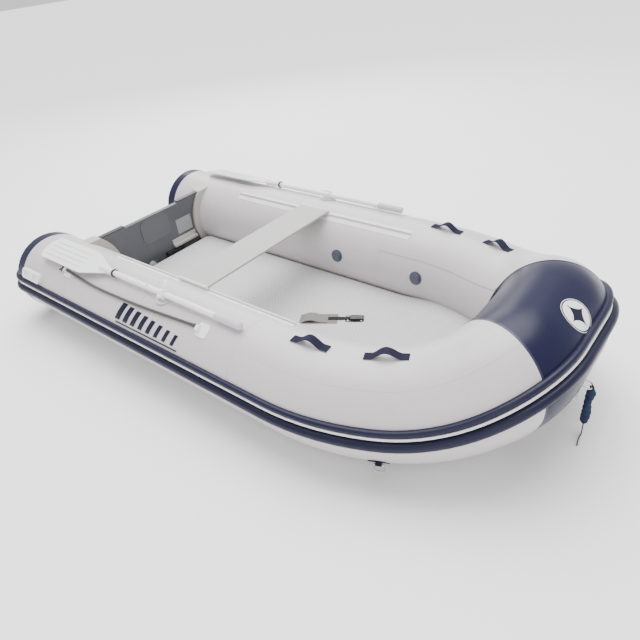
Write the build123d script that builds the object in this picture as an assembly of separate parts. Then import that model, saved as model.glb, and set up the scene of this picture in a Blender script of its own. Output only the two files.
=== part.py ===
from build123d import *
from math import cos, pi, radians, sin, sqrt, tan
import os

os.makedirs("parts", exist_ok=True)

# Inflatable dinghy, millimetres. X runs forward to the bow, Y to port, Z up.
# The origin is at mid-length on the centreline, at the level the tubes rest on.

# ---- hull line: the centre line of the air tube, port half, from the stern forward ----
TUBE_R = 220.0
TUBE_Y = 544.0
AXIS_Z = TUBE_R
STERN_X = -1498.55
END_ROUND = 150.0
SHOULDER_X = 698.0
CHEEK_X = 1055.0
CHEEK_Y = 406.0
CHEEK_RISE = 20.0
BOW_X = 1256.0
BOW_Y = 223.0
BOW_RISE = 152.0
SIDE_REACH = 188.0
BOW_REACH = 112.0
CAP_LENGTH = 105.0
BAFFLE_X = 300.0
BAFFLE_T = 2.0
SEAM_X = 1240.0
SEAM_Y = 267.0
SEAM_TURN = 21.0

# ---- rubbing strake ----
STRAKE_LIFT = 6.5
BAND_H = 88.0
BAND_T = 4.0
LOWER_RIB_R = 20.0
UPPER_RIB_R = 13.0
STRIPE_H = 11.0
STRIPE_T = 8.0
STRAKE_WRAP = 58.0

# ---- floor and bottom ----
DECK_TOP = 132.0
DECK_T = 58.0
DECK_GAP = 0.5
DECK_AFT = -1040.0
DECK_BEND_X = 470.0
DECK_SLOPE = 7.0
DECK_NOSE_X = 1120.0
SKIN_Z = 2.0
SKIN_T = 4.0
SKIN_HALF = TUBE_Y - 44.0
RAMP_X = 985.0
RAMP_SLOPE = 25.0
KEEL_AFT = -1000.0
KEEL_NOSE = 880.0

# ---- transom ----
TRANSOM_X = -1108.0
TRANSOM_T = 30.0
TRANSOM_TOP = 412.0
TRANSOM_LOW = 60.0
DRAIN_Z = 102.0
DRAIN_Y = -95.0
DRAIN_R = 13.0
DRAIN_WALL = 3.0
DRAIN_COLLAR_R = 25.0
DRAIN_COLLAR_T = 6.0
PAD_BELOW_NOTCH = 8.0
PLATE_SPAN = [150.0, 268.0]
PLATE_LEVELS = [205.0, 300.0]
PLATE_T = 1.5
LEDGE_SPAN = [90.0, 280.0]
LEDGE_LEVELS = [140.0, 158.0, 188.0]
LEDGE_DEEP = 22.0
LEDGE_FACE_T = 3.0
PUMP_SPAN = [20.0, 150.0]
PUMP_LEVELS = [86.0, 132.0]
PUMP_DEEP = 30.0
NOTCH_HALF = 200.0
NOTCH_DEEP = 12.0
HOLDER_W = 70.0
HOLDER_T = 42.0
HOLDER_BITE = 14.0
PAD_W = 210.0
PAD_H = 150.0
PAD_T = 4.0

# ---- seat and its rails ----
RAIL_INSET = 96.0
RAIL_Y = TUBE_Y - RAIL_INSET
RAIL_AFT = -769.0
RAIL_FORE = 448.0
RAIL_BEAD_R = 4.0
RAIL_WEB = 3.0
RAIL_STRIP = 56.0
RAIL_STRIP_T = 2.0
BEAD_RISE = RAIL_BEAD_R + 5.5
SEAT_X = -175.0
SEAT_W = 200.0
SEAT_T = 12.0
SEAT_OVERHANG = 14.0
CHANNEL_W = 18.0
SLIDE_GAP = 0.5

# ---- rowlocks and oars ----
LOCK_X = -199.0
LOCK_TURN = 15.5
LOCK_BASE_R = 46.0
LOCK_BASE_T = 5.0
LOCK_PIN_R = 8.0
SHAFT_R = 14.0
SHAFT_WALL = 1.6
CLAMP_WALL = 3.5
CLAMP_RISE = 2.5
OAR_LIFT = LOCK_BASE_T + CLAMP_RISE + CLAMP_WALL + SHAFT_R
PIN_GAP = 0.8
CLAMP_LEN = 44.0
GRIP_FROM = 352.0
GRIP_TO = 501.0
GRIP_R = SHAFT_R + 3.0
JOINT_AT = -137.0
STUB_LEN = 75.0
BUTTON_AT = -105.0
BUTTON_R = 4.0
BUTTON_PROUD = 3.0
RING_AT = -376.0
RING_R = SHAFT_R + 6.0
RING_W = 8.0
SOCKET_R = SHAFT_R + 3.5
SOCKET_END = -480.0
BLADE_FROM = -410.0
BLADE_WIDE_AT = -590.0
BLADE_TIP = -990.0
BLADE_W = 150.0
BLADE_T = 6.0
RIB_T = 3.5
RIB_W = 5.0
RIB_L = 330.0
RIB_AT = [-44.0, -15.0, 15.0, 44.0]

# ---- handles, valves, rings and rope ----
HANDLE_L = 166.0
HANDLE_W = 38.0
HANDLE_T = 4.5
HANDLE_RISE = 32.0
HANDLE_FOOT = 24.0
HANDLE_AHEAD = [302.0, 624.0]
HANDLE_LIFT = 1.5
AFT_VALVE_AHEAD = -243.0
FORE_VALVE_AHEAD = 256.0
DECK_VALVE_X = -780.0
DECK_VALVE_Y = -215.0
VALVE_LIFT = 10.0
FLANGE_R = 34.0
FLANGE_T = 5.0
BARREL_R = 25.0
BARREL_DEEP = 34.0
STEM_R = 17.0
CAP_R = 26.0
CAP_T = 8.0
FIT_GAP = 0.3
RING_WIRE = 3.0
RING_WIDE = 40.0
RING_DEEP = 38.0
RING_CORNER = 14.0
RING_BAR_CORNER = 4.5
BOW_TAB_DROP = 34.0
BOW_TAB_OUT = 10.0
BOW_RING_TILT = 14.0
SIDE_RING_AHEAD = 590.0
SIDE_RING_DROP = 40.0
SIDE_TAB_OUT = 9.0
SMALL_RING_BACK = 62.0
SMALL_WIDE = 26.0
SMALL_DEEP = 30.0
SMALL_CORNER = 9.0
SMALL_WIRE = 2.0
SMALL_TAB_W = 14.0
SMALL_TAB_R = 5.0
SLEEVE_R = 15.0
SLEEVE_END = 52.0
SLEEVE_EYE_W = 9.0
EYE_SLACK = 0.7
EYE_WALL = 4.3
TAB_W = 24.0
TAB_R = 7.0
PATCH_R = 42.0
PATCH_T = 2.5
ROPE_R = 7.0
ROPE_LIFT = 1.0
KNOT_R = 10.0
KNOT_L = 20.0
KNOT_GAP = 0.8
HOLDER_BLOCK = 18.0
HOLDER_L = 64.0
STERN_FIT_X = -1235.0
STERN_FIT_TURN = 27.0
STERN_FIT_L = 180.0
TAIL_R = 2.5
STRAP_X = 222.0
STRAP_Y = -62.0
STRAP_TURN = 31.0
STRAP_L = 190.0
STRAP_W = 50.0
STRAP_T = 4.0
WEB_W = 24.0
WEB_T = 2.0
BUCKLE_AT = 180.0
BUCKLE_L = 40.0
BUCKLE_W = 34.0
BUCKLE_H = 12.0
TONGUE_L = 26.0
TONGUE_T = 6.0
TAIL_LIFT = 3.5


def out(name, shape):
    export_step(shape, "parts/" + name + ".step")


def mirrored(shape):
    return mirror(shape, about=Plane.XZ)


def both(shape):
    return shape + mirrored(shape)


def rod(start, end, radius):
    way = Vector(*end) - Vector(*start)
    face = Plane(origin=start, z_dir=way) * Circle(radius)
    return extrude(face, amount=way.length)


def disc(radius, z0, z1):
    return Pos(0, 0, z0) * Cylinder(radius, z1 - z0, align=(Align.CENTER, Align.CENTER, Align.MIN))


def slab(x0, x1, y0, y1, z0, z1):
    return Pos((x0 + x1) / 2, (y0 + y1) / 2, (z0 + z1) / 2) * Box(x1 - x0, y1 - y0, z1 - z0)


def carried(section, line, reaches):
    """Solids of a flat section carried along straight runs that tangent arcs join."""
    solids = []
    here = line[0]
    for i in range(1, len(line)):
        way = line[i] - here
        heading = way.normalized()
        last = i == len(line) - 1
        run = way.length if last else way.length - reaches[i - 1]
        solids.append(extrude(section, amount=run, dir=heading))
        section = section.moved(Location(heading * run))
        if last:
            break
        here = here + heading * run
        onward = (line[i + 1] - line[i]).normalized()
        turn = heading.get_angle(onward)
        radius = reaches[i - 1] / tan(radians(turn / 2))
        hinge = heading.cross(onward).normalized()
        bend = Axis(here + hinge.cross(heading) * radius, hinge)
        solids.append(revolve(section, axis=bend, revolution_arc=turn))
        section = section.rotate(bend, turn)
        here = line[i] + onward * reaches[i - 1]
    return solids


def joined(solids):
    whole = solids[0]
    for solid in solids[1:]:
        whole = whole + solid
    return whole


# ---- the hull line and the tubes ----
STRAIGHT_FROM = STERN_X + END_ROUND
BOW_POINTS = [
    Vector(BAFFLE_X + BAFFLE_T, TUBE_Y, AXIS_Z),
    Vector(SHOULDER_X, TUBE_Y, AXIS_Z),
    Vector(CHEEK_X, CHEEK_Y, AXIS_Z + CHEEK_RISE),
    Vector(BOW_X, BOW_Y, AXIS_Z + BOW_RISE),
    Vector(BOW_X, 0, AXIS_Z + BOW_RISE),
]
REACHES = [SIDE_REACH, SIDE_REACH, BOW_REACH]


def tube_section(x, radius):
    return (Plane(origin=(x, TUBE_Y, AXIS_Z), z_dir=(1, 0, 0)) * Circle(radius)).face()


def side_cylinder(x0, x1):
    return extrude(tube_section(x0, TUBE_R), amount=x1 - x0, dir=(1, 0, 0))


def rounded_end():
    profile = Polyline((0, 0), (0, TUBE_R)) + RadiusArc(
        (0, TUBE_R), (-END_ROUND, TUBE_R - END_ROUND), -END_ROUND
    ) + Polyline((-END_ROUND, TUBE_R - END_ROUND), (-END_ROUND, 0), (0, 0))
    stand = Plane(origin=(STRAIGHT_FROM, TUBE_Y, AXIS_Z), x_dir=(1, 0, 0), z_dir=(0, -1, 0))
    face = stand * make_face(profile)
    return revolve(face, axis=Axis((STRAIGHT_FROM, TUBE_Y, AXIS_Z), (1, 0, 0)), revolution_arc=360)


END = rounded_end()
CAP_CUT = slab(STERN_X - 10, STERN_X + CAP_LENGTH, 0, TUBE_Y * 2, -10, TUBE_R * 2 + 10)
end_cap = END & CAP_CUT
side_tube = (END - CAP_CUT) + side_cylinder(STRAIGHT_FROM, BAFFLE_X)
bow_solids = carried(tube_section(BAFFLE_X + BAFFLE_T, TUBE_R), BOW_POINTS, REACHES)
bow_half = joined(bow_solids)
SEAM = Plane(
    origin=(SEAM_X, SEAM_Y, 0),
    x_dir=(0, 0, 1),
    z_dir=(sin(radians(SEAM_TURN)), -cos(radians(SEAM_TURN)), 0),
)
bow_quarter = split(bow_half, bisect_by=SEAM, keep=Keep.BOTTOM)
nose_half = split(bow_half, bisect_by=SEAM, keep=Keep.TOP)
bow_nose = both(nose_half)
baffle = extrude(tube_section(BAFFLE_X, TUBE_R), amount=BAFFLE_T, dir=(1, 0, 0))
tube_half = side_tube + baffle + bow_half

# ---- rubbing strake: a band with two ribs and a stripe between them ----
def strake_section(kind):
    middle = Location((0, 0, 0), (0, 0, STRAKE_LIFT))
    face_plane = Plane(origin=(STRAIGHT_FROM, TUBE_Y, AXIS_Z), x_dir=(0, 1, 0), z_dir=(1, 0, 0))
    outer = TUBE_R + BAND_T
    stripe_at = UPPER_RIB_R - STRIPE_H / 2
    stripe = Pos(outer + STRIPE_T / 2 - BAND_T, stripe_at) * Rectangle(STRIPE_T, STRIPE_H)
    if kind == "stripe":
        return (face_plane * (middle * stripe)).face()
    band = Circle(outer) & (Pos(outer, 0) * Rectangle(TUBE_R, BAND_H))
    lower = Pos(outer, LOWER_RIB_R - BAND_H / 2) * Circle(LOWER_RIB_R)
    upper = Pos(outer, BAND_H / 2 - UPPER_RIB_R) * Circle(UPPER_RIB_R)
    shape = (band + lower + upper - Circle(TUBE_R)) - stripe
    return (face_plane * (middle * shape)).face()


def strake_half(kind):
    start = Vector(STRAIGHT_FROM, TUBE_Y, AXIS_Z)
    section = strake_section(kind)
    corner = Axis((STRAIGHT_FROM, TUBE_Y + TUBE_R - END_ROUND, 0), (0, 0, 1))
    wrap = revolve(section, axis=corner, revolution_arc=STRAKE_WRAP)
    run = carried(section, [start] + BOW_POINTS[1:], REACHES)
    return joined([wrap - END] + run)


strake = both(strake_half("band"))
stripe = both(strake_half("stripe"))


# ---- places on the tube: turn is measured up from the outboard level ----
START = Vector(STRAIGHT_FROM, TUBE_Y, AXIS_Z)
CORNERS = BOW_POINTS[1:]


def bend_radius(before, corner, after, reach):
    turn = (corner - before).get_angle(after - corner)
    return reach / tan(radians(turn / 2))


PATH = [START] + CORNERS
RADII = [bend_radius(*PATH[i : i + 3], REACHES[i]) for i in range(len(REACHES))]
HULL_LINE = FilletPolyline(*PATH, radius=RADII)


def on_hull(ahead, turn, lift):
    """Plane on the port tube: X along it, Z out of it, ahead of the baffle along the hull line."""
    share = (BAFFLE_X - STRAIGHT_FROM + ahead) / HULL_LINE.length
    along = HULL_LINE % share
    outboard = Vector(0, 0, 1).cross(along).normalized()
    upward = along.cross(outboard)
    up = radians(turn)
    normal = outboard * cos(up) + upward * sin(up)
    centre = (HULL_LINE @ share) + normal * (TUBE_R + lift)
    return Plane(origin=centre, x_dir=along, z_dir=normal)


SIDE_SKIN = side_cylinder(STERN_X, SHOULDER_X)


def seated(shape, skin=SIDE_SKIN):
    """A patch or fitting that is drawn a little deep and trimmed to lie on the skin."""
    return shape - skin


# ---- bottom skin, keel and deck ----
def side_outline(points):
    return Plane.XZ * make_face(Polyline(*points, close=True))


def ramp_z(x):
    return SKIN_Z + max(0.0, x - RAMP_X) * tan(radians(RAMP_SLOPE))


RAMP_END = BOW_X + TUBE_R * sin(radians(RAMP_SLOPE))
RAMP_THICK = SKIN_T / cos(radians(RAMP_SLOPE))
ramp_knee = RAMP_X - SKIN_T * tan(radians(RAMP_SLOPE / 2))
skin_profile = side_outline([
    (TRANSOM_X, SKIN_Z),
    (RAMP_X, SKIN_Z),
    (RAMP_END, ramp_z(RAMP_END)),
    (RAMP_END, ramp_z(RAMP_END) + RAMP_THICK),
    (ramp_knee, SKIN_Z + SKIN_T),
    (TRANSOM_X, SKIN_Z + SKIN_T),
])
bow_plan = make_face(Polyline(
    (TRANSOM_X, -SKIN_HALF),
    (SHOULDER_X, -SKIN_HALF),
    (CHEEK_X, -CHEEK_Y),
    (RAMP_END, -BOW_Y),
    (RAMP_END, BOW_Y),
    (CHEEK_X, CHEEK_Y),
    (SHOULDER_X, SKIN_HALF),
    (TRANSOM_X, SKIN_HALF),
    close=True,
))
skin_plan = extrude(bow_plan, amount=TUBE_R * 2)
skin_sheet = extrude(skin_profile, amount=SKIN_HALF, both=True) & skin_plan
hull_bottom = skin_sheet - tube_half - mirrored(tube_half)

deck_low = DECK_TOP - DECK_T
KEEL_R = (deck_low - SKIN_Z - SKIN_T) / 2 - FIT_GAP
keel_z = SKIN_Z + SKIN_T + FIT_GAP / 2 + KEEL_R
air_keel = rod((KEEL_AFT + KEEL_R, 0, keel_z), (KEEL_NOSE - KEEL_R, 0, keel_z), KEEL_R)
air_keel = air_keel + Pos(KEEL_AFT + KEEL_R, 0, keel_z) * Sphere(KEEL_R)
air_keel = air_keel + Pos(KEEL_NOSE - KEEL_R, 0, keel_z) * Sphere(KEEL_R)

nose_rise = (DECK_NOSE_X - DECK_BEND_X) * tan(radians(DECK_SLOPE))
deck_profile = side_outline([
    (DECK_AFT, deck_low),
    (DECK_BEND_X, deck_low),
    (DECK_NOSE_X, deck_low + nose_rise),
    (DECK_NOSE_X, DECK_TOP + nose_rise),
    (DECK_BEND_X, DECK_TOP),
    (DECK_AFT, DECK_TOP),
])
deck_half = TUBE_Y - sqrt((TUBE_R + DECK_GAP) ** 2 - (AXIS_Z - DECK_TOP) ** 2)
deck_plan = make_face(Polyline(
    (DECK_AFT, -deck_half),
    (SHOULDER_X, -deck_half),
    (DECK_NOSE_X, -CHEEK_Y / 3),
    (DECK_NOSE_X, CHEEK_Y / 3),
    (SHOULDER_X, deck_half),
    (DECK_AFT, deck_half),
    close=True,
))
air_deck = extrude(deck_profile, amount=deck_half, both=True) & extrude(deck_plan, amount=TUBE_R * 2)
air_deck = air_deck - tube_half - mirrored(tube_half)

# ---- transom, its holders, pads and small fittings ----
TRANSOM_BACK = TRANSOM_X - TRANSOM_T / 2
TRANSOM_FRONT = TRANSOM_X + TRANSOM_T / 2
holder_ring = side_cylinder(TRANSOM_X - HOLDER_W / 2, TRANSOM_X + HOLDER_W / 2)
holder_outer = extrude(
    tube_section(TRANSOM_X - HOLDER_W / 2, TUBE_R + HOLDER_T), amount=HOLDER_W, dir=(1, 0, 0)
)
holder_part = slab(TRANSOM_X - HOLDER_W, TRANSOM_X + HOLDER_W, 0, TUBE_Y - 70, TRANSOM_LOW, TRANSOM_TOP + 6)
holder_solid = (holder_outer - holder_ring) & holder_part
board_edge_r = TUBE_R + HOLDER_T - HOLDER_BITE
board_bite = extrude(
    tube_section(TRANSOM_BACK, board_edge_r), amount=TRANSOM_T, dir=(1, 0, 0)
)
board = slab(TRANSOM_BACK, TRANSOM_FRONT, -TUBE_Y, TUBE_Y, TRANSOM_LOW, TRANSOM_TOP)
notch = slab(TRANSOM_BACK, TRANSOM_FRONT, -NOTCH_HALF, NOTCH_HALF, TRANSOM_TOP - NOTCH_DEEP, TRANSOM_TOP + 1)
transom_board = board - board_bite - mirrored(board_bite) - notch


def drain_rod(x0, x1, radius):
    return rod((x0, DRAIN_Y, DRAIN_Z), (x1, DRAIN_Y, DRAIN_Z), radius)


def on_front(span, levels, depth):
    """A block on the transom's front face, between two levels and two distances from the centreline."""
    return slab(TRANSOM_FRONT, TRANSOM_FRONT + depth, *span, *levels)


transom_board = transom_board - drain_rod(TRANSOM_BACK - 1, TRANSOM_FRONT + 1, DRAIN_R)
transom_holders = both(holder_solid - transom_board)
pad_top = TRANSOM_TOP - NOTCH_DEEP - PAD_BELOW_NOTCH
outer_pad = slab(TRANSOM_BACK - PAD_T, TRANSOM_BACK, -PAD_W / 2, PAD_W / 2, pad_top - PAD_H, pad_top)
inner_pad = slab(TRANSOM_FRONT, TRANSOM_FRONT + PAD_T, -PAD_W / 2, PAD_W / 2, pad_top - PAD_H, pad_top)
blank_plate = on_front(PLATE_SPAN, PLATE_LEVELS, PLATE_T)
ledge_low, ledge_high, face_high = LEDGE_LEVELS
deck_ledge = on_front(LEDGE_SPAN, [ledge_low, ledge_high], LEDGE_DEEP)
deck_ledge = deck_ledge + on_front(LEDGE_SPAN, [ledge_high, face_high], LEDGE_FACE_T)
pump_box = on_front(PUMP_SPAN, PUMP_LEVELS, PUMP_DEEP)
collar_face = TRANSOM_FRONT + DRAIN_COLLAR_T
drain_bore_r = DRAIN_R - DRAIN_WALL
drain_fitting = drain_rod(TRANSOM_FRONT, collar_face, DRAIN_COLLAR_R)
drain_fitting = drain_fitting + drain_rod(TRANSOM_BACK - DRAIN_WALL, collar_face, DRAIN_R)
drain_fitting = drain_fitting - drain_rod(TRANSOM_BACK - DRAIN_WALL - 1, collar_face + 1, drain_bore_r)
plug_face = collar_face + FIT_GAP
plug_front = collar_face + DRAIN_COLLAR_T
drain_plug = drain_rod(TRANSOM_FRONT - 12, plug_face, drain_bore_r - FIT_GAP)
drain_plug = drain_plug + drain_rod(plug_face, plug_front, DRAIN_R + DRAIN_WALL)
plug_wing = slab(plug_front, plug_front + 10, DRAIN_Y - 3, DRAIN_Y + 3, DRAIN_Z - 10, DRAIN_Z + 10)
drain_plug = drain_plug + plug_wing

# ---- seat rails and seat ----
rail_skin_z = AXIS_Z + sqrt(TUBE_R**2 - (TUBE_Y - RAIL_Y) ** 2)
bead_z = rail_skin_z + BEAD_RISE
strip_face = tube_section(RAIL_AFT, TUBE_R + RAIL_STRIP_T)
strip_outer = extrude(strip_face, amount=RAIL_FORE - RAIL_AFT, dir=(1, 0, 0))
strip_part = slab(RAIL_AFT, RAIL_FORE, RAIL_Y - RAIL_STRIP / 2, RAIL_Y + RAIL_STRIP / 2, AXIS_Z, bead_z)
rail = (strip_outer & strip_part) - SIDE_SKIN
web = slab(RAIL_AFT, RAIL_FORE, RAIL_Y - RAIL_WEB / 2, RAIL_Y + RAIL_WEB / 2, rail_skin_z - 5, bead_z)
rail = rail + (web - SIDE_SKIN)
rail = rail + rod((RAIL_AFT, RAIL_Y, bead_z), (RAIL_FORE, RAIL_Y, bead_z), RAIL_BEAD_R)
seat_rails = both(rail)
bore_r = RAIL_BEAD_R + SLIDE_GAP
seat_low = bead_z + bore_r + 2.0
channel_low = bead_z - RAIL_BEAD_R + 1.0
seat_half = RAIL_Y + SEAT_OVERHANG
seat_aft = SEAT_X - SEAT_W / 2
seat_fore = SEAT_X + SEAT_W / 2
seat_board = slab(seat_aft, seat_fore, -seat_half, seat_half, seat_low, seat_low + SEAT_T)
seat_board = fillet(seat_board.edges().filter_by(Axis.Z), 6)
seat_board = fillet(seat_board.edges().filter_by(GeomType.LINE).filter_by(Axis.X), 3)
channel = slab(seat_aft, seat_fore, RAIL_Y - CHANNEL_W / 2, RAIL_Y + CHANNEL_W / 2, channel_low, seat_low)
channel = channel - rod((seat_aft - 1, RAIL_Y, bead_z), (seat_fore + 1, RAIL_Y, bead_z), bore_r)
slot_half = RAIL_WEB / 2 + SLIDE_GAP
channel = channel - slab(seat_aft, seat_fore, RAIL_Y - slot_half, RAIL_Y + slot_half, channel_low - 1, bead_z)
seat_channels = both(channel)

# ---- rowlocks and oars: drawn on the port side in the lock's own plane ----
LOCK = on_hull(LOCK_X - BAFFLE_X, 90 - LOCK_TURN, 0)


def lock_rod(x0, x1, radius, lift=OAR_LIFT):
    face = Plane(origin=(x0, 0, lift), z_dir=(1, 0, 0)) * Circle(radius)
    return extrude(face, amount=x1 - x0)


pin_top = OAR_LIFT - SHAFT_R - PIN_GAP
base_local = disc(LOCK_BASE_R, -8, LOCK_BASE_T) + disc(LOCK_PIN_R, -8, pin_top)
rowlock_base = seated(LOCK * base_local)
pin_room = LOCK_PIN_R + 0.1
plate_low = LOCK_BASE_T + FIT_GAP
clamp_r = SHAFT_R + CLAMP_WALL
clamp_local = lock_rod(-CLAMP_LEN / 2, CLAMP_LEN / 2, clamp_r)
clamp_local = clamp_local + Pos(0, 0, OAR_LIFT) * Box(26, 2 * clamp_r + 16, 12)
clamp_local = clamp_local + Pos(0, 0, (plate_low + OAR_LIFT) / 2) * Box(38, 30, OAR_LIFT - plate_low)
clamp_local = clamp_local - lock_rod(-CLAMP_LEN, CLAMP_LEN, SHAFT_R) - disc(pin_room, 0, OAR_LIFT - 2)
rowlock_clamp = LOCK * clamp_local

shaft_bore = SHAFT_R - SHAFT_WALL
upper_local = lock_rod(JOINT_AT, GRIP_TO - 6, SHAFT_R) - lock_rod(JOINT_AT - 1, GRIP_TO - 12, shaft_bore)
stub_r = shaft_bore - 0.1
lower_local = lock_rod(SOCKET_END + 12, JOINT_AT, SHAFT_R) + lock_rod(JOINT_AT, JOINT_AT + STUB_LEN, stub_r)
lower_local = lower_local - lock_rod(SOCKET_END + 20, JOINT_AT + STUB_LEN + 1, stub_r - SHAFT_WALL)
button_top = OAR_LIFT + SHAFT_R + BUTTON_PROUD
button_low = OAR_LIFT + stub_r - 5
button_local = Pos(BUTTON_AT, 0, 0) * disc(BUTTON_R, button_low, button_top)
button_hole = Pos(BUTTON_AT, 0, 0) * disc(BUTTON_R + 0.1, OAR_LIFT, button_top + 1)
upper_local = upper_local - button_hole
lower_local = lower_local - button_hole
grip_local = lock_rod(GRIP_FROM, GRIP_TO, GRIP_R)
grip_local = fillet(grip_local.edges().filter_by(GeomType.CIRCLE).sort_by(Axis.X)[-1:], 10)
grip_local = grip_local - lock_rod(GRIP_FROM - 1, GRIP_TO - 6, SHAFT_R)
ring_local = lock_rod(RING_AT, RING_AT + RING_W, RING_R)
ring_local = ring_local - lock_rod(RING_AT - 1, RING_AT + RING_W + 1, SHAFT_R)
half_w = BLADE_W / 2
blade_face = make_face(Polyline(
    (BLADE_FROM, -SHAFT_R),
    (BLADE_WIDE_AT, -half_w),
    (BLADE_TIP + 30, -half_w),
    (BLADE_TIP, -half_w + 45),
    (BLADE_TIP, half_w - 45),
    (BLADE_TIP + 30, half_w),
    (BLADE_WIDE_AT, half_w),
    (BLADE_FROM, SHAFT_R),
    close=True,
))
blade_local = Pos(0, 0, OAR_LIFT - BLADE_T / 2) * extrude(blade_face, amount=BLADE_T)
blade_local = fillet(blade_local.edges().filter_by(Axis.Z), 18)
for rib_y in RIB_AT:
    rib = Pos((BLADE_WIDE_AT + BLADE_TIP) / 2, rib_y, OAR_LIFT) * Box(RIB_L, RIB_W, BLADE_T + 2 * RIB_T)
    blade_local = blade_local + rib
blade_local = blade_local + lock_rod(SOCKET_END, RING_AT, SOCKET_R)
blade_local = blade_local - lock_rod(SOCKET_END + 12, RING_AT + 1, SHAFT_R)
oar_parts = {
    "oar_upper_shaft": upper_local,
    "oar_lower_shaft": lower_local,
    "oar_grip": grip_local,
    "oar_ring": ring_local,
    "oar_blade": blade_local,
    "oar_button": button_local,
}

# ---- grab handles on the tube tops ----
def handle_local():
    inner = HANDLE_L / 2 - HANDLE_FOOT
    arch_r = (inner**2 + HANDLE_RISE**2) / (2 * HANDLE_RISE)
    middle = Pos(0, HANDLE_RISE - arch_r)
    arch = middle * Circle(arch_r) - middle * Circle(arch_r - HANDLE_T)
    arch = arch & (Pos(0, HANDLE_RISE / 2) * Rectangle(2 * inner, HANDLE_RISE))
    foot_w = HANDLE_FOOT + HANDLE_T * 2
    foot = Rectangle(foot_w, HANDLE_T + 6)
    foot_x = HANDLE_L / 2 - foot_w / 2
    shape = arch + Pos(foot_x, HANDLE_T / 2 - 3) * foot + Pos(-foot_x, HANDLE_T / 2 - 3) * foot
    return extrude(Plane.XZ * shape, amount=HANDLE_W / 2, both=True)


port_handles = [seated(on_hull(at, 90, HANDLE_LIFT) * handle_local(), bow_half) for at in HANDLE_AHEAD]


# ---- valves: a flanged body in a pocket and a cap that turns in it ----
def valve_body(plane, skin):
    bore = disc(STEM_R + FIT_GAP, -BARREL_DEEP + 6, FLANGE_T + 1)
    barrel = disc(BARREL_R, -BARREL_DEEP, FLANGE_T) - bore
    flange = disc(FLANGE_R, -6, FLANGE_T) - disc(BARREL_R, -7, FLANGE_T + 1)
    return (plane * flange - skin) + plane * barrel


def valve_cap(plane):
    cap = disc(STEM_R, -BARREL_DEEP + 10, FLANGE_T + FIT_GAP)
    cap = cap + disc(CAP_R, FLANGE_T + FIT_GAP, FLANGE_T + CAP_T)
    return plane * (cap + Pos(0, 0, FLANGE_T + CAP_T + 2) * Box(2 * CAP_R - 8, 7, 4))


def valve_pocket(plane):
    return plane * disc(BARREL_R + FIT_GAP, -BARREL_DEEP - FIT_GAP, 20)


AFT_VALVE = on_hull(AFT_VALVE_AHEAD, 180 - VALVE_LIFT, 0)
FORE_VALVE = on_hull(FORE_VALVE_AHEAD, 180 - VALVE_LIFT, 0)
DECK_VALVE = Plane(origin=(DECK_VALVE_X, DECK_VALVE_Y, DECK_TOP), z_dir=(0, 0, 1))
aft_valve_body = valve_body(AFT_VALVE, side_tube)
fore_valve_body = valve_body(FORE_VALVE, bow_quarter)
deck_valve_body = valve_body(DECK_VALVE, air_deck)
air_deck = air_deck - valve_pocket(DECK_VALVE)
bow_quarter_port = bow_quarter - valve_pocket(FORE_VALVE)
bow_quarter_starboard = mirrored(bow_quarter)
side_tube = side_tube - valve_pocket(AFT_VALVE)

# ---- line holders and the lifeline, drawn on the port side and mirrored to starboard ----
ROPE_AT = TUBE_R + ROPE_R + ROPE_LIFT


def rope_point(x, turn):
    up = radians(turn)
    return (x, -TUBE_Y - ROPE_AT * cos(up), AXIS_Z + ROPE_AT * sin(up))


LIFELINE = [
    rope_point(-950, 55.5),
    rope_point(-800, 52.0),
    rope_point(-640, 50.0),
    rope_point(-440, 50.7),
    rope_point(-240, 52.6),
    rope_point(-80, 55.2),
    rope_point(62, 57.5),
]


def cord_tube(points, radius, name):
    """Tube of straight runs joined by tangent arcs along a route."""
    spots = [Vector(*point) for point in points]
    radii = []
    for i in range(1, len(spots) - 1):
        before = spots[i] - spots[i - 1]
        after = spots[i + 1] - spots[i]
        radii.append(0.45 * min(before.length, after.length) / tan(radians(before.get_angle(after) / 2)))
    path = FilletPolyline(*spots, radius=radii)
    face = Plane(origin=spots[0], z_dir=path % 0) * Circle(radius)
    tube = sweep(face, path=path)
    section = pi * radius**2
    print(name, "radii", [round(r) for r in radii], "length", round(path.length, 1),
          "volume ratio", round(tube.volume / (section * path.length), 4))
    return tube


lifeline = cord_tube(LIFELINE, ROPE_R, "lifeline")


def line_holder(x, turn):
    plane = on_hull(x - BAFFLE_X, turn, 0)
    plate = fillet(Box(HOLDER_L, 62, 6).edges().filter_by(Axis.Z), 12)
    block = Pos(HOLDER_BLOCK / 2 - HOLDER_L / 2, 0, 8) * Box(HOLDER_BLOCK, 26, 20)
    return (plane * (plate + block)) - SIDE_SKIN


rope_aft = LIFELINE[0][0]
rope_fore = LIFELINE[-1][0]
aft_holder = line_holder(rope_aft + 2 + HOLDER_L / 2, 55.0)
fore_holder = line_holder(rope_fore + KNOT_L + 2 * KNOT_GAP + HOLDER_L / 2, 56.5)
holders_port = aft_holder + fore_holder
rope_room = mirrored(cord_tube(LIFELINE, ROPE_R + FIT_GAP, "rope room"))
line_holders = mirrored(holders_port - rope_room) + holders_port
KNOT_LIFT = KNOT_R + 1.0


def knot(x0, x1, turn):
    up = radians(turn)
    y = -TUBE_Y - (TUBE_R + KNOT_LIFT) * cos(up)
    z = AXIS_Z + (TUBE_R + KNOT_LIFT) * sin(up)
    return rod((x0, y, z), (x1, y, z), KNOT_R)


lifeline_knots = knot(rope_aft - KNOT_GAP - KNOT_L, rope_aft - KNOT_GAP, 55.5)
lifeline_knots = lifeline_knots + knot(rope_fore + KNOT_GAP, rope_fore + KNOT_GAP + KNOT_L, 57.5)

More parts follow.
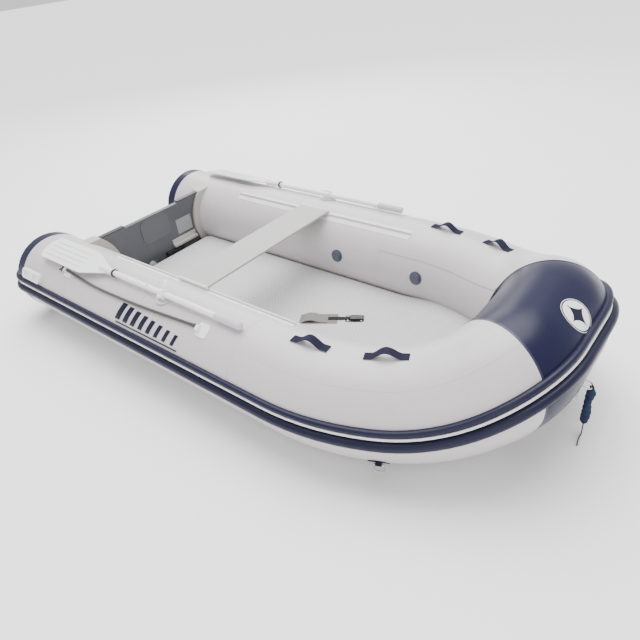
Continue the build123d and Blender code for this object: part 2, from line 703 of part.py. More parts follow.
# ---- moulded stern fittings ----
stern_plane = on_hull(STERN_FIT_X - BAFFLE_X, STERN_FIT_TURN, 0)
stern_block = Box(STERN_FIT_L, 58, 30)
stern_block = fillet(stern_block.edges().filter_by(Axis.Z), 20)
stern_block = fillet(stern_block.edges().group_by(Axis.Z)[-1], 5)
for recess_x in (-STERN_FIT_L / 4, STERN_FIT_L / 4):
    stern_block = stern_block - Pos(recess_x, 0, 12) * Box(42, 30, 12)
stern_fitting = stern_plane * stern_block - SIDE_SKIN
stern_fittings = both(stern_fitting)


# ---- rings and their webbing tabs ----
def wire_ring(wide, deep, corner, wire):
    """A closed wire loop with its bar on the local Y axis, hanging towards -Z."""
    loop = Rectangle(wide, deep)
    bar_to_loop = (Pos(0, -deep / 2) * loop).vertices().group_by(Axis.Y)
    outline = fillet(bar_to_loop[0], corner)
    outline = fillet(outline.vertices().group_by(Axis.Y)[-1], RING_BAR_CORNER)
    line = (Plane.YZ * outline).face().outer_wire()
    start = line @ 0
    face = Plane(origin=start, z_dir=line % 0) * Circle(wire)
    return sweep(face, path=line)


def ring_tab(wide, radius, wire, depth):
    """A webbing loop round the ring's bar, with its root at +X depth."""
    loop = Pos(0, 0, 0) * Rot(90, 0, 0) * Cylinder(radius, wide)
    root = Pos(depth / 2, 0, 0) * Box(depth, wide, 2 * radius)
    bore = Rot(90, 0, 0) * Cylinder(wire + FIT_GAP, wide + 2)
    return loop + root - bore


def ring_stand(plane):
    """Frame at a tab whose Y runs along the ring's bar and whose Z is as upright as the bar allows."""
    along = plane.x_dir
    upright = (Vector(0, 0, 1) - along * along.Z).normalized()
    return Plane(origin=plane.origin, x_dir=along.cross(upright), z_dir=upright)


def tab_stand(plane):
    """Frame at a tab whose Y runs along the ring's bar and whose X runs into the tube."""
    return Plane(origin=plane.origin, x_dir=plane.z_dir * -1, z_dir=plane.z_dir.cross(plane.x_dir))


# Bow tab, its steel ring and the small wire ring beside it.
bow_axis_z = AXIS_Z + BOW_RISE
tab_down = radians(BOW_TAB_DROP)
tab_x = BOW_X + (TUBE_R + BOW_TAB_OUT) * cos(tab_down)
tab_z = bow_axis_z - (TUBE_R + BOW_TAB_OUT) * sin(tab_down)
TAB = Plane(
    origin=(tab_x, 0, tab_z),
    x_dir=(-cos(tab_down), 0, sin(tab_down)),
    z_dir=(sin(tab_down), 0, cos(tab_down)),
)
bow_tab = TAB * ring_tab(TAB_W, TAB_R, RING_WIRE, BOW_TAB_OUT + 3)
patch_plane = Plane(origin=(BOW_X, 0, bow_axis_z), z_dir=(cos(tab_down), 0, -sin(tab_down)))
patch = patch_plane * (Pos(0, 0, TUBE_R) * Cylinder(PATCH_R, 2 * PATCH_T + 8))
bow_cylinder = Pos(BOW_X, 0, bow_axis_z) * Rot(90, 0, 0) * Cylinder(TUBE_R, 4 * TAB_W)
patch_skin = Pos(BOW_X, 0, bow_axis_z) * Rot(90, 0, 0) * Cylinder(TUBE_R + PATCH_T, 4 * TAB_W)
bow_tab = (bow_tab - bow_cylinder) + ((patch & patch_skin) - bow_cylinder)
ring_tilt = radians(BOW_RING_TILT)
ring_far_x = tab_x + RING_DEEP * cos(ring_tilt)
ring_far_z = tab_z - RING_DEEP * sin(ring_tilt)
hung_ring = wire_ring(RING_WIDE, RING_DEEP, RING_CORNER, RING_WIRE)
bow_ring = Pos(tab_x, 0, tab_z) * Rot(0, BOW_RING_TILT - 90, 0) * hung_ring

# The padded grip sleeve hangs from the bow ring by an eye.
eye_r = RING_WIRE + EYE_SLACK
sleeve_eye = Pos(ring_far_x, 0, ring_far_z) * Rot(90, 0, 0) * Cylinder(eye_r + EYE_WALL, SLEEVE_EYE_W)
sleeve_top = ring_far_z - eye_r - EYE_WALL + 1
sleeve = rod((ring_far_x, 0, sleeve_top), (ring_far_x, 0, SLEEVE_END), SLEEVE_R)
sleeve = fillet(sleeve.edges().filter_by(GeomType.CIRCLE), 6)
sleeve = sleeve + sleeve_eye
sleeve = sleeve + slab(
    ring_far_x - 3, ring_far_x + 3, -SLEEVE_EYE_W / 2, SLEEVE_EYE_W / 2, sleeve_top - 8, ring_far_z - eye_r
)
grip_sleeve = sleeve - Pos(ring_far_x, 0, ring_far_z) * Rot(90, 0, 0) * Cylinder(eye_r, SLEEVE_EYE_W + 2)
TAIL = [
    (ring_far_x, 0, SLEEVE_END),
    (ring_far_x, 0, SLEEVE_END - 25),
    (ring_far_x + 4, -19, 5),
    (ring_far_x + 2, -46, TAIL_LIFT),
    (ring_far_x + 8, -78, TAIL_LIFT),
]
bow_tail = cord_tube(TAIL, TAIL_R, "bow tail")
tail_way = (Vector(*TAIL[-1]) - Vector(*TAIL[-2])).normalized()
tail_knot = Pos(*(Vector(*TAIL[-1]) + tail_way * (TAIL_R * 1.2))) * Sphere(TAIL_R * 1.36)
tail_knot = tail_knot - rod(TAIL[-1], TAIL[-2], TAIL_R * 3)

# Side rings on the bow quarters, hanging plumb from webbing tabs.
side_spot = on_hull(SIDE_RING_AHEAD, -SIDE_RING_DROP, SIDE_TAB_OUT)
side_patch = side_spot * (Pos(0, 0, -SIDE_TAB_OUT) * Cylinder(PATCH_R, 2 * PATCH_T))
side_tab = tab_stand(side_spot) * ring_tab(TAB_W, TAB_R, RING_WIRE, SIDE_TAB_OUT + 3)
port_ring_tab = (side_tab - bow_half) + (side_patch - bow_half)
port_side_ring = ring_stand(side_spot) * wire_ring(RING_WIDE, RING_DEEP, RING_CORNER, RING_WIRE)
to_middle = HULL_LINE.length - (BAFFLE_X - STRAIGHT_FROM)
wire_spot = on_hull(to_middle - SMALL_RING_BACK, 2 - BOW_TAB_DROP, SIDE_TAB_OUT)
small_tab = ring_tab(SMALL_TAB_W, SMALL_TAB_R, SMALL_WIRE, SIDE_TAB_OUT + 3)
wire_tab = mirrored((tab_stand(wire_spot) * small_tab) - bow_half)
small_ring = wire_ring(SMALL_WIDE, SMALL_DEEP, SMALL_CORNER, SMALL_WIRE)
wire_triangle = mirrored(ring_stand(wire_spot) * small_ring)

# ---- deck strap and side-release buckle ----
strap_way = (cos(radians(STRAP_TURN)), sin(radians(STRAP_TURN)), 0)
STRAP = Plane(origin=(STRAP_X, STRAP_Y, DECK_TOP), x_dir=strap_way)
strap_flap = Pos(0, 0, STRAP_T / 2) * Box(STRAP_L, STRAP_W, STRAP_T)
web_from = STRAP_L / 2
web_to = BUCKLE_AT - BUCKLE_L / 2
strap_web = Pos((web_from + web_to) / 2, 0, WEB_T / 2) * Box(web_to - web_from, WEB_W, WEB_T)
deck_strap = STRAP * (strap_flap + strap_web)
buckle_z = BUCKLE_H / 2
socket_box = Pos(BUCKLE_AT, 0, buckle_z) * Box(BUCKLE_L, BUCKLE_W, BUCKLE_H)
socket_box = fillet(socket_box.edges().filter_by(Axis.Z), 5)
tongue_room = Box(BUCKLE_L, WEB_W + 2 * FIT_GAP, TONGUE_T + 2 * FIT_GAP)
buckle_socket = STRAP * (socket_box - Pos(BUCKLE_AT + 6, 0, buckle_z) * tongue_room)
plug_l = BUCKLE_L * 0.6
plug_x = BUCKLE_AT + BUCKLE_L / 2 + FIT_GAP + plug_l / 2
plug_box = Pos(plug_x, 0, buckle_z) * Box(plug_l, BUCKLE_W - 2, BUCKLE_H - 2)
plug_box = fillet(plug_box.edges().filter_by(Axis.Z), 4)
tongue = Pos(BUCKLE_AT + BUCKLE_L / 2 - TONGUE_L / 2 + 1, 0, buckle_z) * Box(TONGUE_L, WEB_W, TONGUE_T)
buckle_plug = STRAP * (plug_box + tongue)

# ---- every piece under its own name ----
pieces = {
    "port_tube": side_tube,
    "starboard_tube": mirrored(side_tube),
    "port_bow_quarter": bow_quarter_port,
    "starboard_bow_quarter": bow_quarter_starboard,
    "bow_nose": bow_nose,
    "baffles": both(baffle),
    "stern_end_caps": both(end_cap),
    "rubbing_strake": strake,
    "strake_stripe": stripe,
    "hull_bottom": hull_bottom,
    "air_keel": air_keel,
    "air_deck": air_deck,
    "transom_board": transom_board,
    "transom_holders": transom_holders,
    "motor_pads": outer_pad + inner_pad,
    "blank_plate": blank_plate,
    "deck_ledge": deck_ledge,
    "pump_box": pump_box,
    "drain_fitting": drain_fitting,
    "drain_plug": drain_plug,
    "seat_rails": seat_rails,
    "seat_board": seat_board,
    "seat_channels": seat_channels,
    "stern_fittings": stern_fittings,
    "lifeline": lifeline,
    "lifeline_knots": lifeline_knots,
    "line_holders": line_holders,
    "bow_tab": bow_tab,
    "bow_ring": bow_ring,
    "grip_sleeve": grip_sleeve,
    "bow_tail": bow_tail,
    "bow_tail_knot": tail_knot,
    "ring_tabs": both(port_ring_tab) + wire_tab,
    "wire_ring": wire_triangle,
    "port_side_ring": port_side_ring,
    "starboard_side_ring": mirrored(port_side_ring),
    "deck_strap": deck_strap,
    "buckle_socket": buckle_socket,
    "buckle_plug": buckle_plug,
    "chamber_valves": both(aft_valve_body) + fore_valve_body + deck_valve_body,
    "port_aft_valve_cap": valve_cap(AFT_VALVE),
    "port_fore_valve_cap": valve_cap(FORE_VALVE),
    "starboard_valve_cap": mirrored(valve_cap(AFT_VALVE)),
    "deck_valve_cap": valve_cap(DECK_VALVE),
    "grab_handles": both(joined(port_handles)),
    "port_rowlock_clamp": rowlock_clamp,
    "starboard_rowlock_clamp": mirrored(rowlock_clamp),
    "rowlock_bases": both(rowlock_base),
}
for name, local in oar_parts.items():
    placed = LOCK * local
    pieces["port_" + name] = placed
    pieces["starboard_" + name] = mirrored(placed)
for name, shape in pieces.items():
    if not shape.is_valid:
        print("not valid:", name)
    out(name, shape)
print(len(pieces), "nodes")
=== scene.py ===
import math

import bmesh
import bpy
from bmesh.types import BMEdge, BMVert
from mathutils import Matrix, Vector


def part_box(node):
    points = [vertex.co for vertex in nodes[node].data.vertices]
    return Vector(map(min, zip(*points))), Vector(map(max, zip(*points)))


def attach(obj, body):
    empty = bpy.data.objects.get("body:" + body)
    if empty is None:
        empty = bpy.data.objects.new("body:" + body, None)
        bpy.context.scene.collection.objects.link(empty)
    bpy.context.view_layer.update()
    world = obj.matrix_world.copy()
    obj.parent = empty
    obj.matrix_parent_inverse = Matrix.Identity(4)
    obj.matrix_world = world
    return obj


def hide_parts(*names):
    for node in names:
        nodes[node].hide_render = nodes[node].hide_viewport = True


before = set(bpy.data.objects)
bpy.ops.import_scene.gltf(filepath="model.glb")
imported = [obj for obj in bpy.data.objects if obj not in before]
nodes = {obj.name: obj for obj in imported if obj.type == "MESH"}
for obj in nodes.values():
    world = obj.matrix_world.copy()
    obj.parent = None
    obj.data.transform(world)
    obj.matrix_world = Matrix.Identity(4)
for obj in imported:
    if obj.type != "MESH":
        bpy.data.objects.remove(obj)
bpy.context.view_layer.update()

# The studio: the boat stands on a plain pale floor, seen from above its starboard bow, under broad
# soft lights. The floor is painted board, rolled flat, with the faintest mottling.
CAMERA_AT = (1.76576, -1.75506, 1.71381)
CAMERA_YAW = 0.737
CAMERA_PITCH = 0.60620
CAMERA_ROLL = -0.12
CAMERA_LENS = 31.40
CAMERA_SENSOR = 36.0
FLOOR_SIZE = 60.0
FLOOR_GAP = 0.0012
AREA_LIGHTS = [
    ("overhead", (-0.6, 0.8, 4.6), (0, 0, 0.2), (6.0, 4.0), 170),
    ("from_behind", (-3.4, 3.6, 3.2), (0, 0, 0.3), (4.0, 2.5), 150),
    ("near_side", (3.6, -4.2, 2.6), (0.2, 0, 0.3), (4.0, 2.5), 80),
]
SKY_POWER = 3.4
SKY_SPREAD = math.radians(55)
SKY_TURN = (math.radians(-14), math.radians(-12), 0)
ROOM_LIGHT = 0.95

level_forward = Vector((-math.sin(CAMERA_YAW), math.cos(CAMERA_YAW), 0))
view_way = level_forward * math.cos(CAMERA_PITCH) - Vector((0, 0, math.sin(CAMERA_PITCH)))
level_right = Vector((math.cos(CAMERA_YAW), math.sin(CAMERA_YAW), 0))
level_up = level_right.cross(view_way)
roll_cos, roll_sin = math.cos(CAMERA_ROLL), math.sin(CAMERA_ROLL)
camera_right = level_right * roll_cos + level_up * roll_sin
camera_up = level_up * roll_cos - level_right * roll_sin
camera_data = bpy.data.cameras.new("camera")
camera_data.lens = CAMERA_LENS
camera_data.sensor_width = CAMERA_SENSOR
camera = bpy.data.objects.new("camera", camera_data)
camera.matrix_world = Matrix.Translation(CAMERA_AT) @ Matrix(
    (camera_right, camera_up, -view_way)
).transposed().to_4x4()
bpy.context.scene.collection.objects.link(camera)
bpy.context.scene.camera = camera


def soft_light(name, place, target, size, power):
    data = bpy.data.lights.new(name, "AREA")
    data.shape = "RECTANGLE"
    data.size, data.size_y = size
    data.energy = power
    light = bpy.data.objects.new(name, data)
    light.location = place
    way = Vector(target) - Vector(place)
    light.rotation_euler = way.to_track_quat("-Z", "Y").to_euler()
    bpy.context.scene.collection.objects.link(light)


for area_light in AREA_LIGHTS:
    soft_light(*area_light)
sky_data = bpy.data.lights.new("open_sky", "SUN")
sky_data.energy = SKY_POWER
sky_data.angle = SKY_SPREAD
open_sky = bpy.data.objects.new("open_sky", sky_data)
open_sky.rotation_euler = SKY_TURN
bpy.context.scene.collection.objects.link(open_sky)
world = bpy.data.worlds.new("studio")
world.use_nodes = True
background = world.node_tree.nodes["Background"]
background.inputs["Color"].default_value = (1, 1, 1, 1)
background.inputs["Strength"].default_value = ROOM_LIGHT
bpy.context.scene.world = world


class Field:
    """A number that varies over a surface. Sums, products and comparisons add their Math nodes."""

    def __init__(self, finish, socket):
        self.finish = finish
        self.socket = socket

    def maths(self, operation, first, second=0.0, third=0.0):
        settings = {"operation": operation}
        return self.finish.node("ShaderNodeMath", settings, {0: first, 1: second, 2: third})

    def __add__(self, other):
        return self.maths("ADD", self, other)

    __radd__ = __add__

    def __sub__(self, other):
        return self.maths("SUBTRACT", self, other)

    def __mul__(self, other):
        return self.maths("MULTIPLY", self, other)

    __rmul__ = __mul__

    def __gt__(self, other):
        return self.maths("GREATER_THAN", self, other)

    def __lt__(self, other):
        return self.maths("LESS_THAN", self, other)

    def __abs__(self):
        return self.maths("ABSOLUTE", self)

    def sine(self):
        return self.maths("SINE", self)

    def wave(self, period):
        return (self * (2 * math.pi / period)).sine()

    def most(self, other):
        return self.maths("MAXIMUM", self, other)

    def between(self, low, high):
        """1 between two values and 0 outside them."""
        return (self > low) * (self < high)


class Finish:
    """A material with one glossy shader. Its nodes all come from node()."""

    def __init__(self, name, roughness=0.5, metallic=0.0, **uniform):
        self.material = bpy.data.materials.new(name)
        self.material.use_nodes = True
        self.tree = self.material.node_tree
        self.shader = self.tree.nodes["Principled BSDF"]
        self.shader.inputs["Roughness"].default_value = roughness
        self.shader.inputs["Metallic"].default_value = metallic
        for socket, value in uniform.items():
            self.shader.inputs[socket.replace("_", " ")].default_value = value
        self.place = self.node("ShaderNodeTexCoord", out="Object")

    def put(self, target, value):
        if isinstance(value, Field):
            self.tree.links.new(value.socket, target)
        else:
            target.default_value = value

    def node(self, kind, settings=None, sockets=None, out=0):
        made = self.tree.nodes.new(kind)
        for setting, value in (settings or {}).items():
            setattr(made, setting, value)
        for socket, value in (sockets or {}).items():
            self.put(made.inputs[socket], value)
        return Field(self, made.outputs[out])

    def axes(self, place=None):
        """The three coordinates of a place, as fields."""
        split = self.node("ShaderNodeSeparateXYZ", None, {0: place or self.place})
        outputs = split.socket.node.outputs
        return Field(self, outputs[0]), Field(self, outputs[1]), Field(self, outputs[2])

    def noise(self, scale, detail=3.0, place=None):
        sockets = {"Vector": place or self.place, "Scale": scale, "Detail": detail}
        return self.node("ShaderNodeTexNoise", None, sockets, 0)

    def mixed(self, share, colour_a, colour_b):
        sockets = {0: share, 6: colour_a, 7: colour_b}
        return self.node("ShaderNodeMix", {"data_type": "RGBA"}, sockets, 2)

    def coloured(self, value):
        self.put(self.shader.inputs["Base Color"], value)

    def roughened(self, value):
        self.put(self.shader.inputs["Roughness"], value)

    def embossed(self, height, distance, strength=1.0):
        """Raises the surface by up to distance metres where height is 1."""
        sockets = {"Height": height, "Distance": distance, "Strength": strength}
        self.put(self.shader.inputs["Normal"], self.node("ShaderNodeBump", None, sockets))


def shade(colour, share):
    """A colour with its light scaled, and its alpha kept."""
    return (*(min(1.0, part * share) for part in colour[:3]), 1.0)


floor_bm = bmesh.new()
bmesh.ops.create_grid(floor_bm, x_segments=8, y_segments=8, size=FLOOR_SIZE / 2)
bmesh.ops.translate(floor_bm, verts=floor_bm.verts, vec=(0, 0, -FLOOR_GAP))
floor_mesh = bpy.data.meshes.new("floor")
floor_bm.to_mesh(floor_mesh)
floor_bm.free()
floor = bpy.data.objects.new("floor", floor_mesh)
bpy.context.scene.collection.objects.link(floor)
floor_finish = Finish("floor_paint", roughness=0.9)
floor_white = (0.97, 0.97, 0.97, 1)
floor_mottle = floor_finish.mixed(floor_finish.noise(1.5), floor_white, shade(floor_white, 0.99))
floor_finish.coloured(floor_mottle)
floor_mesh.materials.append(floor_finish.material)

# The lifeline, a black braided polyester rope of 14 mm, lies along the outer shoulder of the
# starboard tube. It is drawn tight between two moulded holders and knotted at each end.
LIFELINE_R = 0.007
LIFELINE_ROUTE = [
    (-0.950, -0.6731, 0.4079),
    (-0.800, -0.6844, 0.3997),
    (-0.640, -0.6906, 0.3947),
    (-0.440, -0.6884, 0.3964),
    (-0.240, -0.6825, 0.4011),
    (-0.080, -0.6741, 0.4072),
    (0.062, -0.6665, 0.4123),
]
BRAID_STRANDS = 6
BRAID_PITCH = 0.030
BRAID_RELIEF = 0.10
ROPE_SIDES = 24
ROPE_STEP = 0.0018
rope_black = (0.012, 0.012, 0.014, 1)


def route_line(route, resolution=24):
    """Points along a cord's smooth line: a NURBS spline with the route as its control points."""
    curve = bpy.data.curves.new("route", "CURVE")
    curve.dimensions = "3D"
    curve.resolution_u = resolution
    spline = curve.splines.new("NURBS")
    spline.points.add(len(route) - 1)
    for point, place in zip(spline.points, route):
        point.co = (*place, 1)
    spline.use_endpoint_u = True
    spline.order_u = 3
    holder = bpy.data.objects.new("route", curve)
    mesh = bpy.data.meshes.new_from_object(holder)
    line = [vert.co.copy() for vert in mesh.vertices]
    bpy.data.objects.remove(holder)
    bpy.data.curves.remove(curve)
    bpy.data.meshes.remove(mesh)
    return line


def evenly(line, step):
    """The same line with its points a step apart, and its two ends kept."""
    lengths = [0.0]
    for before, after in zip(line, line[1:]):
        lengths.append(lengths[-1] + (after - before).length)
    count = max(2, round(lengths[-1] / step))
    spaced, i = [], 0
    for k in range(count + 1):
        at = lengths[-1] * k / count
        while i < len(line) - 2 and lengths[i + 1] < at:
            i += 1
        span = lengths[i + 1] - lengths[i]
        spaced.append(line[i].lerp(line[i + 1], (at - lengths[i]) / span if span else 0.0))
    return spaced


def linked(parts, kind):
    """What touches the given parts, each once and in order. Kind is verts, link_edges and so on."""
    return list(dict.fromkeys(link for part in parts for link in getattr(part, kind)))


def only(parts, kind):
    """The parts of one kind: BMVert or BMEdge."""
    return [part for part in parts if isinstance(part, kind)]


def pulled(bm, edges, way):
    """Extrudes a ring of edges by a vector and returns the new ring."""
    made = bmesh.ops.extrude_edge_only(bm, edges=edges)["geom"]
    fresh = only(made, BMVert)
    bmesh.ops.translate(bm, verts=fresh, vec=way)
    return [edge for edge in only(made, BMEdge) if all(vert in fresh for vert in edge.verts)]


def stood(origin, way, across=None):
    """Matrix that stands a flat shape at origin, square to way, with its X along across."""
    normal = Vector(way).normalized()
    side = Vector(across) if across else normal.orthogonal()
    side = (side - normal * side.dot(normal)).normalized()
    rows = Matrix((side, normal.cross(side), normal)).transposed().to_4x4()
    return Matrix.Translation(origin) @ rows


def along_line(bm, edges, line):
    """Carries a ring along a line of points, turning it with the line; returns every new ring."""
    rings = []
    for i in range(1, len(line)):
        edges = pulled(bm, edges, line[i] - line[i - 1])
        if i + 1 < len(line):
            turn = (line[i] - line[i - 1]).rotation_difference(line[i + 1] - line[i])
            bmesh.ops.rotate(
                bm, verts=linked(edges, "verts"), cent=line[i], matrix=turn.to_matrix()
            )
        rings.append(edges)
    return rings


def braided(bm, line, radius, pitch=BRAID_PITCH, strands=BRAID_STRANDS, relief=BRAID_RELIEF):
    """A braided rope along a line: a tube whose wall rises over each strand."""
    lay = bm.verts.layers.float_vector.get("lay") or bm.verts.layers.float_vector.new("lay")
    first = bmesh.ops.create_circle(bm, segments=ROPE_SIDES, radius=radius, cap_ends=True)["verts"]
    for vert in first:
        angle = math.atan2(vert.co.y, vert.co.x)
        vert[lay] = (math.cos(angle), math.sin(angle), 0.0)
    bmesh.ops.transform(bm, verts=first, matrix=stood(line[0], line[1] - line[0]))
    rings = [(first, line[0], 0.0)]
    along = 0.0
    for i, edges in enumerate(along_line(bm, linked(first, "link_edges"), line), 1):
        along += (line[i] - line[i - 1]).length
        rings.append((linked(edges, "verts"), line[i], along))
    bmesh.ops.edgeloop_fill(bm, edges=edges)
    for verts, centre, distance in rings:
        for vert in verts:
            angle = math.atan2(vert[lay][1], vert[lay][0])
            vert[lay] = (vert[lay][0], vert[lay][1], distance)
            twist = 2 * math.pi * distance / pitch
            over = math.sin(strands * (angle + twist / 2)) * math.sin(strands * (angle - twist / 2))
            vert.co = centre + (vert.co - centre) * (1 - relief * (0.5 - 0.5 * over) ** 2)


def piece(name, bm, finish, body="hull", smooth=True, sharp=None):
    """Makes an object of the shape, in place, with its finish, riding on a CAD body."""
    mesh = bpy.data.meshes.new(name)
    bm.to_mesh(mesh)
    bm.free()
    mesh.materials.append(finish.material)
    made = bpy.data.objects.new(name, mesh)
    bpy.context.scene.collection.objects.link(made)
    for face in mesh.polygons:
        face.use_smooth = smooth
    if sharp is not None:
        mesh.set_sharp_from_angle(angle=math.radians(sharp))
    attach(made, body)
    return made


def rope_finish(name, colour, pitch, strands):
    """Braided rope: crowns painted light, valleys painted shade, fine yarn lines along each strand.
    """
    finish = Finish(name, roughness=0.75, Sheen_Weight=0.25, Sheen_Roughness=0.6)
    lay = finish.node("ShaderNodeAttribute", {"attribute_name": "lay"}, out="Vector")
    across, up, along = finish.axes(lay)
    angle = across.maths("ARCTAN2", up, across)
    twist = along * (math.pi / pitch)
    over = ((angle + twist) * strands).sine() * ((angle - twist) * strands).sine()
    yarn = ((angle + along * (6 * math.pi / pitch)) * (strands * 4)).sine()
    crown = over * 0.5 + 0.5
    # The colour follows the strands' rise: painted shade in the valleys, painted light on the
    # crowns.
    finish.coloured(finish.mixed(crown, shade(colour, 0.35), shade(colour, 1.9)))
    finish.roughened(0.6 + 0.25 * finish.noise(900))
    finish.embossed(crown + 0.25 * yarn, 0.0004)
    return finish


black_rope = rope_finish("black_rope", rope_black, BRAID_PITCH, BRAID_STRANDS)
lifeline_line = evenly(route_line(LIFELINE_ROUTE), ROPE_STEP)
rope_bm = bmesh.new()
braided(rope_bm, lifeline_line, LIFELINE_R)
lifeline = piece("lifeline_rope", rope_bm, black_rope)
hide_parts("lifeline")

# Each end of the lifeline is stopped: the after end by a turned knot with two short tails, the
# forward end by a tight whipping of six turns against its holder.
KNOT_TURNS = 3
WHIP_TURNS = 6
KNOT_PITCH = 0.02
KNOT_TAILS = ((-0.020, -0.006), (-0.012, -0.018))
aft_end, fore_end = lifeline_line[0], lifeline_line[-1]
aft_way = (lifeline_line[0] - lifeline_line[1]).normalized()
fore_way = (lifeline_line[-1] - lifeline_line[-2]).normalized()


def coil(start, way, turns, coil_r, advance, steps=20):
    """Points of a few turns round a straight line, each turn further along it."""
    flat = stood(start, way)
    spots = []
    for k in range(turns * steps + 1):
        angle = 2 * math.pi * k / steps
        spot = Vector((coil_r * math.cos(angle), coil_r * math.sin(angle), advance * k / steps))
        spots.append(flat @ spot)
    return spots


knots_bm = bmesh.new()
knot_coil = coil(aft_end + aft_way * 0.003, aft_way, KNOT_TURNS, coil_r=0.0065, advance=0.0055)
braided(knots_bm, knot_coil, radius=0.0042, pitch=KNOT_PITCH, strands=4)
for tail_y, tail_z in KNOT_TAILS:
    sideways = Vector((0, tail_y, tail_z))
    tail = [aft_end + aft_way * 0.014]
    tail.append(aft_end + aft_way * 0.024 + sideways * 0.5)
    tail.append(aft_end + aft_way * 0.030 + sideways)
    tail_rope = evenly(route_line(tail, 12), 0.002)
    braided(knots_bm, tail_rope, radius=0.0045, pitch=KNOT_PITCH, strands=4)
whip_coil = coil(fore_end + fore_way * 0.001, fore_way, WHIP_TURNS, coil_r=0.0062, advance=0.0032)
braided(knots_bm, whip_coil, radius=0.0030, pitch=KNOT_PITCH, strands=3)
lifeline_knots = piece("lifeline_knots_tied", knots_bm, black_rope)
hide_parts("lifeline_knots")
lifeline_length = sum((b - a).length for a, b in zip(lifeline_line, lifeline_line[1:]))

# The bow tail, a thin navy cord, leaves the foot of the padded grip sleeve under the bow, reaches
# the ground and lies along it to a small end knot.
TAIL_R = 0.0025
TAIL_PITCH = 0.012
sleeve_low, sleeve_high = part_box("grip_sleeve")
sleeve_x = (sleeve_low.x + sleeve_high.x) / 2
TAIL_ROUTE = [
    (sleeve_x, 0, 0.052),
    (sleeve_x, 0, 0.027),
    (sleeve_x + 0.004, -0.019, 0.005),
    (sleeve_x + 0.002, -0.046, 0.0035),
    (sleeve_x + 0.008, -0.078, 0.0035),
]
cord_navy = (0.008, 0.014, 0.045, 1)
navy_cord = rope_finish("navy_cord", cord_navy, TAIL_PITCH, 4)
tail_line = evenly(route_line(TAIL_ROUTE), 0.001)
tail_bm = bmesh.new()
braided(tail_bm, tail_line, TAIL_R, TAIL_PITCH, strands=4, relief=0.08)
bow_tail = piece("bow_tail_cord", tail_bm, navy_cord, "grip_sleeve_body")
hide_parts("bow_tail")
knot_bm = bmesh.new()
tail_way = (tail_line[-1] - tail_line[-2]).normalized()
knot_from = tail_line[-1] + tail_way * 0.0002
knot_coil = coil(knot_from, tail_way, turns=2, coil_r=0.0016, advance=0.0022, steps=14)
braided(knot_bm, knot_coil, radius=0.0016, pitch=TAIL_PITCH, strands=3)
tail_knot = piece("bow_tail_knot_tied", knot_bm, navy_cord, "grip_sleeve_body")
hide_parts("bow_tail_knot")
sum((b - a).length for a, b in zip(tail_line, tail_line[1:]))

# The two side tubes are air-filled PVC-coated polyester, cut in panels and welded under lap tapes.
# Each ends astern in a navy cone with a rounded shoulder; a baffle splits each tube near midships.
tube_low, tube_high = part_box("port_tube")
TUBE_R = (tube_high.z - tube_low.z) / 2
TUBE_Y = (tube_low.y + tube_high.y) / 2
AXIS_Z = (tube_low.z + tube_high.z) / 2
STERN_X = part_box("stern_end_caps")[0].x
CAP_X = tube_low.x
BAFFLE_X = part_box("baffles")[1].x
END_ROUND = 0.150
TUBE_SIDES = 112
TAPE_T = 0.0009
TAPE_W = 0.034
CONE_TAPE_W = 0.062
CONE_LAP = 0.004
WELD = 0.00002
hull_grey = (0.575, 0.540, 0.548, 1)
hull_navy = (0.0075, 0.0080, 0.034, 1)
ends_from = STERN_X + END_ROUND
start_point = Vector((BAFFLE_X, TUBE_Y, AXIS_Z))


def coated_fabric(name, colour, roughness, coat=0.0, scrim=0.0011, shine=0.5):
    """Coated fabric: soft clouding, a scrim that shows as a fine grid, and slow slack waves."""
    finish = Finish(
        name, roughness=roughness, Coat_Weight=coat, Coat_Roughness=0.25, Specular_IOR_Level=shine
    )
    x, y, z = finish.axes()
    cloud = finish.noise(2.2, 4)
    grime = finish.noise(14, 5)
    tone = finish.mixed(cloud, shade(colour, 0.94), shade(colour, 1.05))
    finish.coloured(finish.mixed(grime.between(0.62, 1) * 0.25, tone, shade(colour, 0.88)))
    finish.roughened(roughness - 0.08 + 0.18 * grime)
    grid = x.wave(scrim) * 0.5 + (y + z).wave(scrim) * 0.5
    finish.embossed(grid * 0.02 + cloud * 0.9 + finish.noise(9, 2) * 0.45, 0.0035, 0.35)
    return finish


def swung(bm, edges, cent, axis, angle, steps):
    """Spins a ring of edges about an axis and returns the last ring."""
    made = bmesh.ops.spin(
        bm, geom=edges + linked(edges, "verts"), cent=cent, axis=axis, dvec=(0, 0, 0), angle=angle,
        steps=steps, use_merge=False, use_normal_flip=False, use_duplicate=False,
    )
    return only(made["geom_last"], BMEdge)


def whole(bm):
    """All there is of a shape."""
    return bm.verts[:] + bm.edges[:] + bm.faces[:]


def outward(bm):
    """Points every face outwards."""
    bmesh.ops.recalc_face_normals(bm, faces=bm.faces)


def closed(bm):
    """Fills any open rim and points every face outwards."""
    bmesh.ops.remove_doubles(bm, verts=bm.verts, dist=WELD)
    rims = [edge for edge in bm.edges if edge.is_boundary]
    if rims:
        bmesh.ops.holes_fill(bm, edges=rims, sides=0)
    outward(bm)


def mirrored(bm, merge=0):
    """Adds the shape's twin on the other side of the centreline."""
    bmesh.ops.mirror(bm, geom=whole(bm), matrix=Matrix(), merge_dist=merge, axis="Y")
    outward(bm)


